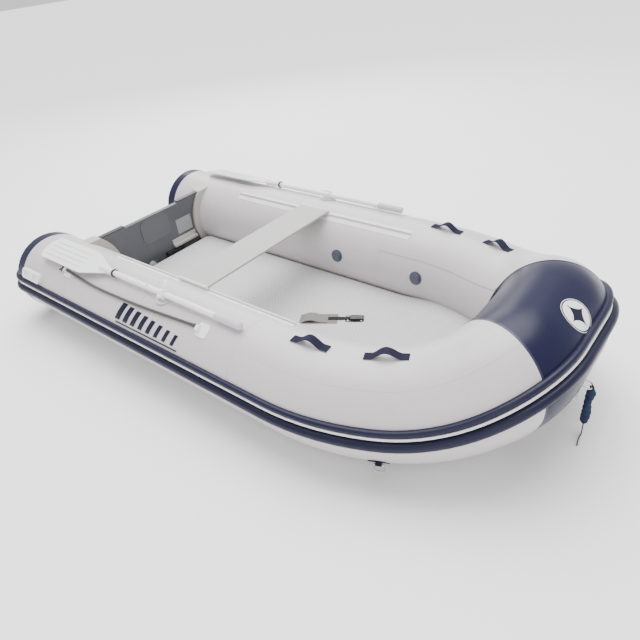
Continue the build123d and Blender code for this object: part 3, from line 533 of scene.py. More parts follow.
def side_tube_shape():
    """The port tube from its stern to the baffle: a profile turned about the tube's axis."""
    bm = bmesh.new()
    hub = Vector((ends_from, TUBE_Y, AXIS_Z + TUBE_R - END_ROUND))
    first = bm.verts.new((STERN_X, TUBE_Y, AXIS_Z))
    rim = bmesh.ops.extrude_vert_indiv(bm, verts=[first])["verts"]
    bmesh.ops.translate(bm, verts=rim, vec=(0, 0, TUBE_R - END_ROUND))
    arc = bmesh.ops.spin(bm, geom=rim, cent=hub, axis=(0, 1, 0), angle=math.pi / 2, steps=18)
    tip = only(arc["geom_last"], BMVert)
    runs = 24
    for _ in range(runs):
        tip = bmesh.ops.extrude_vert_indiv(bm, verts=tip)["verts"]
        bmesh.ops.translate(bm, verts=tip, vec=((BAFFLE_X - ends_from) / runs, 0, 0))
    bmesh.ops.spin(
        bm, geom=bm.verts[:] + bm.edges[:], cent=start_point, axis=(1, 0, 0), angle=2 * math.pi,
        steps=TUBE_SIDES, use_merge=True,
    )
    return bm


def cut_away(bm, place, way):
    """Removes what lies beyond a plane, on the side that way points to."""
    bmesh.ops.bisect_plane(bm, geom=whole(bm), plane_co=place, plane_no=way, clear_outer=True)


def mirror_over(bm):
    """Moves the shape to the other side of the centreline."""
    bmesh.ops.scale(bm, vec=(1, -1, 1), verts=bm.verts)
    outward(bm)


def clad(node, finish):
    """Gives a CAD node a finish of its own."""
    for material_slot in nodes[node].material_slots:
        material_slot.material = finish.material


hull_fabric = coated_fabric("hull_fabric", hull_grey, 0.34, coat=0.2)
navy_fabric = coated_fabric("navy_fabric", hull_navy, 0.3, coat=0.12, shine=0.18)
for side in ("port", "starboard"):
    tube_bm = side_tube_shape()
    cut_away(tube_bm, (CAP_X, 0, 0), (-1, 0, 0))
    closed(tube_bm)
    if side == "starboard":
        mirror_over(tube_bm)
    tube = piece(side + "_side_tube", tube_bm, hull_fabric, sharp=40)
    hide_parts(side + "_tube")
caps_bm = side_tube_shape()
cut_away(caps_bm, (CAP_X, 0, 0), (1, 0, 0))
closed(caps_bm)
mirrored(caps_bm)
stern_cones = piece("stern_cones", caps_bm, navy_fabric, sharp=40)
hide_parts("stern_end_caps")
clad("baffles", hull_fabric)

# Lap tapes are strips of the same fabric welded over each panel joint, a little proud of it. A wide
# navy tape covers the joint between each side tube and its stern cone.
HOOP_TAPES = [-0.930, -0.330, 0.301]
taped = coated_fabric("tape_fabric", shade(hull_grey, 0.985), 0.38, coat=0.12)


def circle(bm, sides, radius, stand, filled=False):
    """Adds a circle that stands at a matrix and returns its vertices."""
    ring = bmesh.ops.create_circle(bm, segments=sides, radius=radius, cap_ends=filled)["verts"]
    bmesh.ops.transform(bm, verts=ring, matrix=stand)
    return ring


def tube_ring(bm, x, radius):
    """A ring of edges round the port tube's axis."""
    upright = stood((x, TUBE_Y, AXIS_Z), (1, 0, 0), (0, 1, 0))
    return linked(circle(bm, TUBE_SIDES, radius, upright), "link_edges")


def hoop(bm, x, width):
    """A flat tape round the port tube, with x at its middle."""
    outer = pulled(bm, tube_ring(bm, x - width / 2, TUBE_R + TAPE_T), Vector((width, 0, 0)))
    bmesh.ops.solidify(bm, geom=linked(outer, "link_faces"), thickness=TAPE_T * 2)


tapes_bm = bmesh.new()
for tape_x in HOOP_TAPES:
    hoop(tapes_bm, tape_x, TAPE_W)
mirrored(tapes_bm)
piece("hoop_tapes", tapes_bm, taped, sharp=30)
cone_tapes_bm = bmesh.new()
hoop(cone_tapes_bm, CAP_X + CONE_TAPE_W / 2 - CONE_LAP, CONE_TAPE_W)
mirrored(cone_tapes_bm)
piece("cone_tapes", cone_tapes_bm, navy_fabric, sharp=30)

# The bow: forward of the baffle each tube turns in and up through two wide bends to meet its twin.
# The nose between the slanting seams is navy fabric, and a narrow welt covers each seam.
nose_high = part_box("bow_nose")[1]
BOW_X = nose_high.x - TUBE_R
BOW_Z = nose_high.z - TUBE_R
SHOULDER_X = 0.698
CHEEK = (1.055, 0.406)
CHEEK_RISE = 0.020
BOW_Y = 0.223
REACHES = [0.188, 0.188, 0.112]
SEAM_AT = Vector((1.240, 0.267, 0))
SEAM_TURN = math.radians(21)
WELT_W = 0.007
WELT_T = 0.0011
MIDLINE_MERGE = 0.0005
seam_way = Vector((math.sin(SEAM_TURN), -math.cos(SEAM_TURN), 0))
bow_points = [
    start_point,
    Vector((SHOULDER_X, TUBE_Y, AXIS_Z)),
    Vector((CHEEK[0], CHEEK[1], AXIS_Z + CHEEK_RISE)),
    Vector((BOW_X, BOW_Y, BOW_Z)),
    Vector((BOW_X, 0, BOW_Z)),
]


def carried(bm, edges, line, reaches, run_step=0.04, turn_step=math.radians(3)):
    """Carries a ring of edges along straight runs that tangent arcs join."""
    here = line[0]
    for i in range(1, len(line)):
        heading = (line[i] - here).normalized()
        last = i == len(line) - 1
        run = (line[i] - here).length - (0 if last else reaches[i - 1])
        steps = max(1, round(run / run_step))
        for _ in range(steps):
            edges = pulled(bm, edges, heading * (run / steps))
        if last:
            return edges
        onward = (line[i + 1] - line[i]).normalized()
        turn = heading.angle(onward)
        radius = reaches[i - 1] / math.tan(turn / 2)
        hinge = heading.cross(onward).normalized()
        hub = here + heading * run + hinge.cross(heading) * radius
        edges = swung(bm, edges, hub, hinge, turn, max(2, round(turn / turn_step)))
        here = line[i] + onward * reaches[i - 1]
    return edges


def bow_half(radius):
    """The port half of the bow, from the baffle to the centreline."""
    bm = bmesh.new()
    carried(bm, tube_ring(bm, BAFFLE_X, radius), bow_points, REACHES)
    return bm


for side in ("port", "starboard"):
    quarter_bm = bow_half(TUBE_R)
    cut_away(quarter_bm, SEAM_AT, seam_way)
    closed(quarter_bm)
    if side == "starboard":
        mirror_over(quarter_bm)
    quarter = piece(side + "_quarter", quarter_bm, hull_fabric, sharp=40)
    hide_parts(side + "_bow_quarter")
nose_bm = bow_half(TUBE_R)
cut_away(nose_bm, SEAM_AT, -seam_way)
mirrored(nose_bm, MIDLINE_MERGE)
closed(nose_bm)
nose = piece("navy_nose", nose_bm, navy_fabric, sharp=40)
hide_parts("bow_nose")
welt_bm = bow_half(TUBE_R + WELT_T)
cut_away(welt_bm, SEAM_AT + seam_way * WELT_W, seam_way)
cut_away(welt_bm, SEAM_AT, -seam_way)
bmesh.ops.solidify(welt_bm, geom=welt_bm.faces[:], thickness=WELT_T * 2)
mirrored(welt_bm)
# The welts are a lighter navy than the nose: a painted highlight along each seam.
welt_highlight_navy = coated_fabric("welt_highlight_fabric", (0.022, 0.023, 0.062, 1), 0.28, coat=0.2, shine=0.3)
piece("nose_welts", welt_bm, welt_highlight_navy, sharp=30)

# Lengthwise lap seams run forward from the baffle over the shoulder and under the chine of each
# bow quarter, where the wedge-shaped panels of the bends overlap.
LAP_TURNS = [(52, 4.6), (-38, 4.6), (143, 3.6)]
LAP_LIFT = TAPE_T * 0.8
LAP_SHORT = 0.002
SLIVER = 0.0001
laps_bm = bmesh.new()
for lap_turn, lap_wide in LAP_TURNS:
    up = math.radians(lap_turn)
    lap_way = Vector((0, math.cos(up), math.sin(up)))
    edge_spot = laps_bm.verts.new(start_point + lap_way * (TUBE_R + LAP_LIFT))
    bmesh.ops.spin(
        laps_bm, geom=[edge_spot], cent=start_point, axis=(1, 0, 0), angle=math.radians(lap_wide),
        steps=4,
    )
    lap_verts = [v for v in laps_bm.verts if not v.link_faces and v.co.x < BAFFLE_X + SLIVER]
    lap_edges = linked(lap_verts, "link_edges")
    carried(laps_bm, lap_edges, bow_points, REACHES)
cut_away(laps_bm, SEAM_AT - seam_way * LAP_SHORT, seam_way)
outward(laps_bm)
bmesh.ops.solidify(laps_bm, geom=laps_bm.faces[:], thickness=LAP_LIFT * 2)
mirrored(laps_bm)
piece("lap_seams", laps_bm, taped, sharp=30)

# The rubbing strake is an extruded rubber band glued round the hull: a thick lower rib, a thinner
# upper rib and a white stripe lying in the groove between them. It wraps round both stern cones.
STRAKE_LIFT = math.radians(6.5)
STRAKE_WRAP = math.radians(58)
STRAKE_BAND = 0.004
BED_DEPTH = 0.005
BED_HALF = 0.0435
SKIRT_DEPTH = 0.0045
SKIRT_HALF = 0.0440
LOWER_RIB = (-0.024, 0.020, math.radians(168))
UPPER_RIB = (0.031, 0.013, math.radians(164))
STRAKE_GROOVE = [(0.0002, -0.0030), (-0.0002, 0.0060), (0.0002, 0.0165)]
STRIPE_FROM = 0.0020
STRIPE_TO = 0.0130
STRIPE_OUT = 0.008
STRIPE_ROUND = 0.0015
STRIPE_SUNK = 0.001
wrap_hub = Vector((ends_from, TUBE_Y + TUBE_R - END_ROUND, 0))


def line_to(bm, tip, out, up):
    """Draws a straight line in the strake's section, to a place measured from the tube's axis."""
    fresh = bmesh.ops.extrude_vert_indiv(bm, verts=[tip])["verts"]
    fresh[0].co = (ends_from, TUBE_Y + out, AXIS_Z + up)
    return fresh[0]


def bulge(bm, tip, out, up, radius, angle, steps=14):
    """Draws a rib's round face: to its start, then round its centre."""
    half = angle / 2
    tip = line_to(bm, tip, out + radius * math.cos(half), up - radius * math.sin(half))
    hub = (ends_from, TUBE_Y + out, AXIS_Z + up)
    arc = bmesh.ops.spin(bm, geom=[tip], cent=hub, axis=(1, 0, 0), angle=angle, steps=steps)
    return only(arc["geom_last"], BMVert)[0]


def run_round_hull(bm, first, tip):
    """Closes a section, tilts it and carries it round the port half, then mirrors it."""
    bm.edges.new((tip, first))
    hub = (ends_from, TUBE_Y, AXIS_Z)
    bmesh.ops.rotate(bm, verts=bm.verts, cent=hub, matrix=Matrix.Rotation(STRAKE_LIFT, 3, "X"))
    loop = bm.edges[:]
    stern_loop = swung(bm, loop, wrap_hub, (0, 0, 1), STRAKE_WRAP, 22)
    bmesh.ops.edgeloop_fill(bm, edges=stern_loop)
    carried(bm, loop, [Vector(hub)] + bow_points[1:], REACHES)
    mirrored(bm, MIDLINE_MERGE)


def strake_rubber(name, colour):
    """Extruded rubber: dull, with a fine grain and a few scuffs."""
    finish = Finish(name, roughness=0.38, Coat_Weight=0.05, Specular_IOR_Level=0.25)
    scuff = finish.noise(38, 6)
    finish.coloured(finish.mixed(scuff.between(0.6, 1) * 0.3, colour, shade(colour, 1.35)))
    finish.roughened(0.32 + 0.22 * scuff)
    finish.embossed(finish.noise(420, 2) * 0.5 + scuff * 0.5, 0.0005, 0.5)
    return finish


strake_navy = strake_rubber("strake_navy", (0.0065, 0.0068, 0.028, 1))
stripe_white = strake_rubber("stripe_white", (0.86, 0.86, 0.86, 1))
band = TUBE_R + STRAKE_BAND
strake_bm = bmesh.new()
section_first = strake_bm.verts.new((ends_from, TUBE_Y + TUBE_R - BED_DEPTH, AXIS_Z - BED_HALF))
tip = line_to(strake_bm, section_first, band - SKIRT_DEPTH, -SKIRT_HALF)
tip = bulge(strake_bm, tip, band, *LOWER_RIB)
for groove_out, groove_up in STRAKE_GROOVE:
    tip = line_to(strake_bm, tip, band + groove_out, groove_up)
tip = bulge(strake_bm, tip, band, *UPPER_RIB)
tip = line_to(strake_bm, tip, band - SKIRT_DEPTH, SKIRT_HALF)
tip = line_to(strake_bm, tip, TUBE_R - BED_DEPTH, BED_HALF)
run_round_hull(strake_bm, section_first, tip)
strake = piece("strake_band", strake_bm, strake_navy, sharp=50)
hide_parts("rubbing_strake")
stripe_bm = bmesh.new()
section_first = stripe_bm.verts.new((ends_from, TUBE_Y + band - STRIPE_SUNK, AXIS_Z + STRIPE_FROM))
tip = section_first
for stripe_out, stripe_up in [
    (TUBE_R + STRIPE_OUT - STRIPE_ROUND, STRIPE_FROM),
    (TUBE_R + STRIPE_OUT, STRIPE_FROM + STRIPE_ROUND),
    (TUBE_R + STRIPE_OUT, STRIPE_TO - STRIPE_ROUND),
    (TUBE_R + STRIPE_OUT - STRIPE_ROUND, STRIPE_TO),
    (band - STRIPE_SUNK, STRIPE_TO),
]:
    tip = line_to(stripe_bm, tip, stripe_out, stripe_up)
run_round_hull(stripe_bm, section_first, tip)
stripe = piece("strake_white_line", stripe_bm, stripe_white, sharp=30)
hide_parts("strake_stripe")

# The bottom skin is one sheet of heavier coated fabric stretched between the tubes. A round air
# keel lies along its middle, and chafe strips are glued along the bottom.
skin_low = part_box("hull_bottom")[0]
CHAFE_W = 0.050
CHAFE_T = 0.0012
CHAFE_L = 1.85
CHAFE_AHEAD = 0.06
CHAFE_Y = [-0.26, 0.0, 0.26]
KEEL_SIDES = 28
JOIN = 0.00005


def copied(node):
    """A bmesh of a CAD node with its loose triangles joined up."""
    bm = bmesh.new()
    bm.from_mesh(nodes[node].data)
    bmesh.ops.remove_doubles(bm, verts=bm.verts, dist=JOIN)
    return bm


def block(bm, size, centre):
    """Adds a box to the shape and returns its vertices."""
    verts = bmesh.ops.create_cube(bm, size=1.0)["verts"]
    bmesh.ops.scale(bm, verts=verts, vec=size)
    bmesh.ops.translate(bm, verts=verts, vec=centre)
    return verts


skin_bm = copied("hull_bottom")
for chafe_y in CHAFE_Y:
    chafe_at = (skin_low.x + CHAFE_AHEAD + CHAFE_L / 2, chafe_y, skin_low.z)
    block(skin_bm, (CHAFE_L, CHAFE_W, CHAFE_T), chafe_at)
skin_finish = coated_fabric("bottom_skin", shade(hull_grey, 0.92), 0.5)
skin = piece("bottom_skin", skin_bm, skin_finish, sharp=30)
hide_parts("hull_bottom")
keel_low, keel_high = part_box("air_keel")
keel_r = (keel_high.z - keel_low.z) / 2
keel_bm = bmesh.new()
bmesh.ops.create_uvsphere(keel_bm, u_segments=KEEL_SIDES, v_segments=16, radius=keel_r)
lengthwise = Matrix.Rotation(math.pi / 2, 3, "Y")
bmesh.ops.rotate(keel_bm, verts=keel_bm.verts, cent=(0, 0, 0), matrix=lengthwise)
keel_run = keel_high.x - keel_low.x - 2 * keel_r
fore_half = [vert for vert in keel_bm.verts if vert.co.x > SLIVER]
bmesh.ops.translate(keel_bm, verts=fore_half, vec=(keel_run, 0, 0))
keel_at = (keel_low.x + keel_r, (keel_low.y + keel_high.y) / 2, (keel_low.z + keel_high.z) / 2)
bmesh.ops.translate(keel_bm, verts=keel_bm.verts, vec=keel_at)
keel = piece("air_keel_tube", keel_bm, skin_finish)
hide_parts("air_keel")

# The air deck is a drop-stitch mat: two fabric faces held flat by threads, so its edges are round.
# Its top is embossed with small lozenges for grip, and it slopes up a little under the bow.
deck_low, deck_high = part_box("air_deck")
DECK_TOP = 0.132
DECK_BEND_X = 0.470
DECK_SLOPE = math.radians(7)
DECK_EDGE_R = 0.020
DECK_CORNER_R = 0.045
DECK_BOW_HALF = 0.150
DECK_ROWS = 56
DECK_LANES = 14
CLOSE_BY = 0.001
LOZENGE = 0.044
deck_grey = (0.525, 0.520, 0.530, 1)
deck_half = deck_high.y
deck_t = DECK_TOP - deck_low.z


def deck_finish(name, colour):
    """Embossed deck fabric: lozenge rows, tops painted light, grooves painted shade, faint foot
    marks.
    """
    finish = Finish(name, roughness=0.6)
    x, y, _ = finish.axes()
    weave = (x + y).wave(LOZENGE) * (x - y).wave(LOZENGE)
    raised = weave.maths("SMOOTH_MIN", abs(weave) * 2.2, 1.0, 0.3)
    marks = finish.noise(3.0, 5)
    # The relief also sets the colour: painted shade in the grooves, painted light on the lozenges.
    tone = finish.mixed(raised, shade(colour, 0.85), shade(colour, 1.07))
    finish.coloured(finish.mixed(marks.between(0.56, 1) * 0.35, tone, shade(colour, 0.90)))
    finish.roughened(0.5 + 0.2 * marks)
    finish.embossed(raised, 0.0010)
    return finish


def rounded(bm, parts, width, steps, affect="EDGES"):
    """Rounds off edges, or the corners of a flat face."""
    bmesh.ops.bevel(
        bm, geom=parts, offset=width, affect=affect, segments=steps, profile=0.5, material=-1
    )


deck_bm = bmesh.new()
deck_corners = [
    (deck_low.x, -deck_half), (SHOULDER_X, -deck_half), (deck_high.x, -DECK_BOW_HALF),
    (deck_high.x, DECK_BOW_HALF), (SHOULDER_X, deck_half), (deck_low.x, deck_half),
]
outline = [deck_bm.verts.new((x, y, DECK_TOP)) for x, y in deck_corners]
deck_bm.faces.new(outline)
aft_corners = [vert for vert in outline if abs(vert.co.x - deck_low.x) < CLOSE_BY]
rounded(deck_bm, aft_corners, DECK_CORNER_R, 8, "VERTICES")
lower = bmesh.ops.extrude_face_region(deck_bm, geom=deck_bm.faces[:])["geom"]
bmesh.ops.translate(deck_bm, verts=only(lower, BMVert), vec=(0, 0, -deck_t))
outward(deck_bm)
level_edges = [
    edge for edge in deck_bm.edges if abs(edge.verts[0].co.z - edge.verts[1].co.z) < CLOSE_BY
]
rounded(deck_bm, level_edges, DECK_EDGE_R, 7)
deck_cuts = []
for row in range(1, DECK_ROWS):
    cut_x = deck_low.x + (deck_high.x - deck_low.x) * row / DECK_ROWS
    deck_cuts.append(((cut_x, 0, 0), (1, 0, 0)))
for lane in range(1 - DECK_LANES // 2, DECK_LANES // 2):
    deck_cuts.append(((0, deck_half * lane / (DECK_LANES // 2), 0), (0, 1, 0)))
for cut_at, cut_way in deck_cuts:
    bmesh.ops.bisect_plane(deck_bm, geom=whole(deck_bm), plane_co=cut_at, plane_no=cut_way)
for vert in deck_bm.verts:
    past = max(0.0, vert.co.x - DECK_BEND_X)
    vert.co.z += past * math.tan(DECK_SLOPE)
deck_fabric = deck_finish("deck_fabric", deck_grey)
deck = piece("drop_stitch_deck", deck_bm, deck_fabric, sharp=50)
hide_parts("air_deck")

# The transom is 30 mm marine plywood, painted slate and edged with a dark sealing strip. It carries
# clamp pads for a motor, a blank plate, a ledge for the deck, a drain and a black pump socket.
transom_slate = (0.088, 0.093, 0.105, 1)
pad_slate = (0.108, 0.113, 0.125, 1)
SEALING_H = 0.007


def painted_board(name, colour, strip_from):
    """Sprayed paint over ply: fine orange peel, paler worn spots and a dark sealing strip."""
    finish = Finish(name, roughness=0.45, Coat_Weight=0.1)
    z = finish.axes()[2]
    peel = finish.noise(160, 3)
    worn = finish.noise(9, 5)
    tone = finish.mixed(worn.between(0.57, 1) * 0.5, colour, shade(colour, 1.18))
    finish.coloured(finish.mixed(z > strip_from, tone, shade(colour, 0.45)))
    finish.roughened(0.38 + 0.2 * worn)
    finish.embossed(peel, 0.0006, 0.6)
    return finish


def moulded(name, colour, roughness=0.42, grain=260, depth=0.00035):
    """Moulded plastic or rubber: a fine spark texture, a little fading and rubbed patches."""
    finish = Finish(name, roughness=roughness)
    fade = finish.noise(5, 3)
    rubbed = finish.noise(40, 4)
    tone = finish.mixed(fade, shade(colour, 0.92), shade(colour, 1.06))
    finish.coloured(finish.mixed(rubbed.between(0.63, 1) * 0.3, tone, shade(colour, 1.15)))
    finish.roughened(roughness - 0.07 + 0.16 * rubbed)
    finish.embossed(finish.noise(grain, 2), depth, 0.5)
    return finish


sealed_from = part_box("transom_board")[1].z - SEALING_H
clad("transom_board", painted_board("transom_paint", transom_slate, sealed_from))
pads_low, pads_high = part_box("motor_pads")
pad_high = pads_high.z
pad_drop = pads_high.z - pads_low.z
pad_half = pads_high.y
PAD_CHAMFER = 0.028
PAD_T = 0.004
LEDGE_EDGE = 0.0012
CREASE = 0.5
pad_rubber = moulded("pad_rubber", pad_slate, 0.6, 300, 0.0006)
pads_bm = bmesh.new()
for face_x in (pads_low.x, pads_high.x - PAD_T):
    pad_at = (face_x + PAD_T / 2, 0, pad_high - pad_drop / 2)
    pad = block(pads_bm, (PAD_T, 2 * pad_half, pad_drop), pad_at)
    corners = [
        edge for edge in linked(pad, "link_edges")
        if abs(edge.verts[0].co.x - edge.verts[1].co.x) > PAD_T / 2
    ]
    rounded(pads_bm, corners, PAD_CHAMFER, 1)
faces = [face for face in pads_bm.faces if abs(face.normal.x) > 0.9]
bmesh.ops.inset_individual(pads_bm, faces=faces, thickness=0.0045, depth=-0.0012)
pads = piece("motor_clamp_pads", pads_bm, pad_rubber, smooth=False)
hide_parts("motor_pads")
clad("blank_plate", moulded("blank_plate", (0.30, 0.315, 0.31, 1), 0.5))
beige_fabric = coated_fabric("beige_fabric", (0.46, 0.44, 0.41, 1), 0.5)
black_plastic = moulded("black_plastic", (0.018, 0.018, 0.020, 1), 0.38)
clad("pump_box", black_plastic)
beige_plastic = moulded("beige_plastic", (0.56, 0.54, 0.50, 1), 0.45)
clad("drain_fitting", beige_plastic)
clad("drain_plug", beige_plastic)
holders_bm = copied("transom_holders")
holders = piece("transom_holder_strips", holders_bm, beige_fabric, sharp=30)
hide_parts("transom_holders")
ledge_bm = copied("deck_ledge")
creases = [
    edge for edge in ledge_bm.edges
    if not edge.is_boundary and len(edge.link_faces) == 2 and edge.calc_face_angle() > CREASE
]
rounded(ledge_bm, creases, LEDGE_EDGE, 2)
ledge = piece("deck_ledge_strip", ledge_bm, beige_fabric, sharp=30)
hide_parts("deck_ledge")

# The seat is a painted board with white ends that slides along two white rubber rails glued to the
# tubes. A plastic channel under each end hooks round the rail's bead.
seat_low, seat_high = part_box("seat_board")
seat_grey = (0.39, 0.40, 0.385, 1)
rail_white = strake_rubber("rail_rubber", (0.80, 0.785, 0.78, 1))


def seat_finish(name, colour, low, high):
    """Painted board with a fine leather grain, rubbed along its edges and white at its ends."""
    finish = Finish(name, roughness=0.5, Coat_Weight=0.05)
    x, y, _ = finish.axes()
    grain = finish.noise(190, 3)
    rubbed = finish.noise(26, 5)
    edge = (x - low.x < 0.006).most(x > high.x - 0.006)
    tone = finish.mixed(rubbed.between(0.55, 1) * 0.3, colour, shade(colour, 1.07))
    tone = finish.mixed(edge * 0.35, tone, shade(colour, 1.25))
    ends = abs(y) > high.y - 0.010
    finish.coloured(finish.mixed(ends, tone, (0.72, 0.72, 0.71, 1)))
    finish.roughened(0.42 + 0.2 * rubbed)
    finish.embossed(grain, 0.0005, 0.5)
    return finish


clad("seat_board", seat_finish("seat_paint", seat_grey, seat_low, seat_high))
clad("seat_channels", moulded("channel_plastic", (0.66, 0.66, 0.65, 1), 0.4))
rails_bm = copied("seat_rails")
rails = piece("seat_rail_strips", rails_bm, rail_white, sharp=35)
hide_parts("seat_rails")

# Rowlocks: a moulded disc with a pin is glued to each tube. A white clamp turns on the pin and
# grips the oar's shaft. It has a bent lever that locks it and two small loops.
white_plastic = moulded("white_plastic", (0.88, 0.88, 0.89, 1), 0.36)
clad("rowlock_bases", moulded("rowlock_rubber", (0.60, 0.59, 0.58, 1), 0.5))
for side in ("port", "starboard"):
    clad(side + "_rowlock_clamp", white_plastic)
LEVER_R = 0.0036
LEVER_ROUTE = [
    (0.016, 0.004, 0.044), (0.013, -0.016, 0.0485), (0.004, -0.034, 0.052), (-0.012, -0.050, 0.052),
]
PADDLE_R = 0.009
PADDLE_SHAPE = (1.5, 1.1, 0.42)
WIRE_SIDES = 12
LOOP_WIRE = 0.0018
LOOPS = [((0.020, 0.022, 0.018), 0.008), ((-0.019, 0.024, 0.014), 0.0065)]
LOCK_AT = (-0.199, 0.6028, 0.432)
LOCK_WAY = (0, 0.26724, 0.96363)
lock_stand = stood(LOCK_AT, LOCK_WAY, (1, 0, 0))


def placed(bm, matrix):
    """Moves the whole shape by a matrix."""
    bmesh.ops.transform(bm, verts=bm.verts, matrix=matrix)


def rod(bm, line, radius, sides):
    """A round bar along a line, closed at both ends."""
    ring = circle(bm, sides, radius, stood(line[0], line[1] - line[0]), filled=True)
    rings = along_line(bm, linked(ring, "link_edges"), line)
    bmesh.ops.edgeloop_fill(bm, edges=rings[-1])


def wire_loop(bm, hub, reach, way, wire, steps):
    """A round loop of wire about the Y axis. Reach goes from its hub to where the wire starts."""
    ring = circle(bm, WIRE_SIDES, wire, stood(Vector(hub) + Vector(reach), way))
    bmesh.ops.spin(
        bm, geom=ring + linked(ring, "link_edges"), cent=hub, axis=(0, 1, 0), angle=2 * math.pi,
        steps=steps, use_merge=True,
    )


for side in ("port", "starboard"):
    lever_bm = bmesh.new()
    lever_line = evenly(route_line(LEVER_ROUTE), 0.002)
    rod(lever_bm, lever_line, LEVER_R, 20)
    ball = bmesh.ops.create_uvsphere(lever_bm, u_segments=24, v_segments=14, radius=PADDLE_R)
    paddle = ball["verts"]
    bmesh.ops.scale(lever_bm, verts=paddle, vec=PADDLE_SHAPE)
    bmesh.ops.translate(lever_bm, verts=paddle, vec=lever_line[-1])
    for loop_at, loop_r in LOOPS:
        wire_loop(lever_bm, loop_at, (0, 0, loop_r), (1, 0, 0), LOOP_WIRE, 28)
    placed(lever_bm, lock_stand)
    outward(lever_bm)
    if side == "starboard":
        mirror_over(lever_bm)
    piece(side + "_clamp_lever", lever_bm, white_plastic, side + "_oar", sharp=40)

# Each oar is a white anodised tube in two parts, joined by a spring button, with a soft grip, a
# black drip ring and a ribbed white plastic blade.
oar_alloy = Finish("oar_alloy", roughness=0.28, metallic=0.0, Coat_Weight=0.3, Coat_Roughness=0.15)
drawn = oar_alloy.noise(60, 5)
white_alloy = (0.93, 0.93, 0.94, 1)
dull_alloy = (0.80, 0.80, 0.81, 1)
oar_alloy.coloured(oar_alloy.mixed(drawn.between(0.6, 1) * 0.3, white_alloy, dull_alloy))
oar_alloy.roughened(0.22 + 0.18 * drawn)
oar_alloy.embossed(oar_alloy.noise(700, 2), 0.0001, 0.4)
GRIP_RIB = 0.006
grip_soft = Finish("grip_soft", roughness=0.65)
grip_rings = grip_soft.axes()[0].wave(GRIP_RIB)
grip_groove_shade, grip_rib_light = (0.56, 0.57, 0.60, 1), (0.66, 0.67, 0.69, 1)
# The grip's rings carry painted shade in the grooves and painted light on the ribs.
grip_soft.coloured(grip_soft.mixed(grip_rings * 0.5 + 0.5, grip_groove_shade, grip_rib_light))
grip_soft.roughened(0.58 + 0.12 * grip_soft.noise(80))
grip_soft.embossed(grip_rings + 0.3 * grip_soft.noise(500), 0.0007, 0.8)
steel = Finish("steel", roughness=0.25, metallic=1.0)
steel_marks = steel.noise(120, 5)
steel.coloured(steel.mixed(steel_marks, (0.52, 0.52, 0.53, 1), (0.66, 0.66, 0.66, 1)))
steel.roughened(0.18 + 0.22 * steel_marks)
steel.embossed(steel.noise(900, 2), 0.00008, 0.4)
blade_white = moulded("blade_plastic", (0.87, 0.88, 0.90, 1), 0.33)
for side in ("port", "starboard"):
    clad(side + "_oar_upper_shaft", oar_alloy)
    clad(side + "_oar_lower_shaft", oar_alloy)
    clad(side + "_oar_grip", grip_soft)
    clad(side + "_oar_ring", black_plastic)
    clad(side + "_oar_blade", blade_white)
    clad(side + "_oar_button", steel)

# Four grab handles arch over the bow quarters. Each is a stiff strap of navy webbing lined with
# grey, with flat feet that are stitched down to the tube.
HANDLE_AHEAD = [0.302, 0.624]
HANDLE_L = 0.166
HANDLE_W = 0.038
HANDLE_RISE = 0.032
HANDLE_FOOT = 0.026
HANDLE_LIFT = 0.0012
STRAP_T = 0.0022
LAYER_GAP = 0.0002
LINING_W = HANDLE_W - 0.002
HANDLE_STEPS = 36
webbing_navy = (0.0110, 0.0105, 0.0300, 1)


def webbing(name, colour, rib=0.0022, rough=0.8):
    """Woven webbing: ribs across the strap, finer yarns along it and a dull fuzz."""
    finish = Finish(name, roughness=rough, Specular_IOR_Level=0.2)
    x, y, z = finish.axes()
    ribs = x.wave(rib) * 0.5 + (y + z).wave(rib) * 0.5
    fuzz = finish.noise(240, 4)
    # The ribs also set the colour: painted shade between them, painted light on their crowns.
    finish.coloured(finish.mixed(ribs * 0.5 + 0.5, shade(colour, 0.75), shade(colour, 1.35)))
    finish.roughened(rough - 0.1 + 0.2 * fuzz)
    finish.embossed(ribs + 0.6 * fuzz, 0.0005, 0.7)
    return finish


def bent_line(line, reaches, step=0.004):
    """Points along straight runs that tangent arcs join."""
    spots = [line[0]]
    for i in range(1, len(line) - 1):
        heading = (line[i] - line[i - 1]).normalized()
        onward = (line[i + 1] - line[i]).normalized()
        turn = heading.angle(onward)
        radius = reaches[i - 1] / math.tan(turn / 2)
        hinge = heading.cross(onward).normalized()
        begin = line[i] - heading * reaches[i - 1]
        hub = begin + hinge.cross(heading) * radius
        spots.append(begin)
        steps = max(2, round(radius * turn / step))
        for k in range(1, steps + 1):
            turned = Matrix.Rotation(turn * k / steps, 3, hinge) @ (begin - hub)
            spots.append(hub + turned)
    spots.append(line[-1])
    return evenly(spots, step)


hull_line = bent_line([Vector((ends_from, TUBE_Y, AXIS_Z))] + bow_points[1:], REACHES)
line_step = (hull_line[1] - hull_line[0]).length
baffle_at = BAFFLE_X - 0.002 - ends_from


def on_hull(ahead, turn, lift=0.0):
    """Matrix at a place on the port tube: X along it, Z out of it. Turn is up from outboard."""
    k = (baffle_at + ahead) / line_step
    i = min(len(hull_line) - 2, max(0, int(k)))
    along = (hull_line[i + 1] - hull_line[i]).normalized()
    centre = hull_line[i].lerp(hull_line[i + 1], k - i)
    outboard = Vector((0, 0, 1)).cross(along).normalized()
    upward = along.cross(outboard)
    normal = outboard * math.cos(math.radians(turn)) + upward * math.sin(math.radians(turn))
    return stood(centre + normal * (TUBE_R + lift), normal, along)


def strip(bm, line, width, thick, side_way):
    """A flat strap along a line, its width along side_way and its thickness above the line."""
    half = Vector(side_way) * (width / 2)
    edges = [bm.edges.new((bm.verts.new(line[0] - half), bm.verts.new(line[0] + half)))]
    made = []
    for before, after in zip(line, line[1:]):
        edges = pulled(bm, edges, after - before)
        made += linked(edges, "link_faces")
    bmesh.ops.solidify(bm, geom=list(dict.fromkeys(made)), thickness=thick)


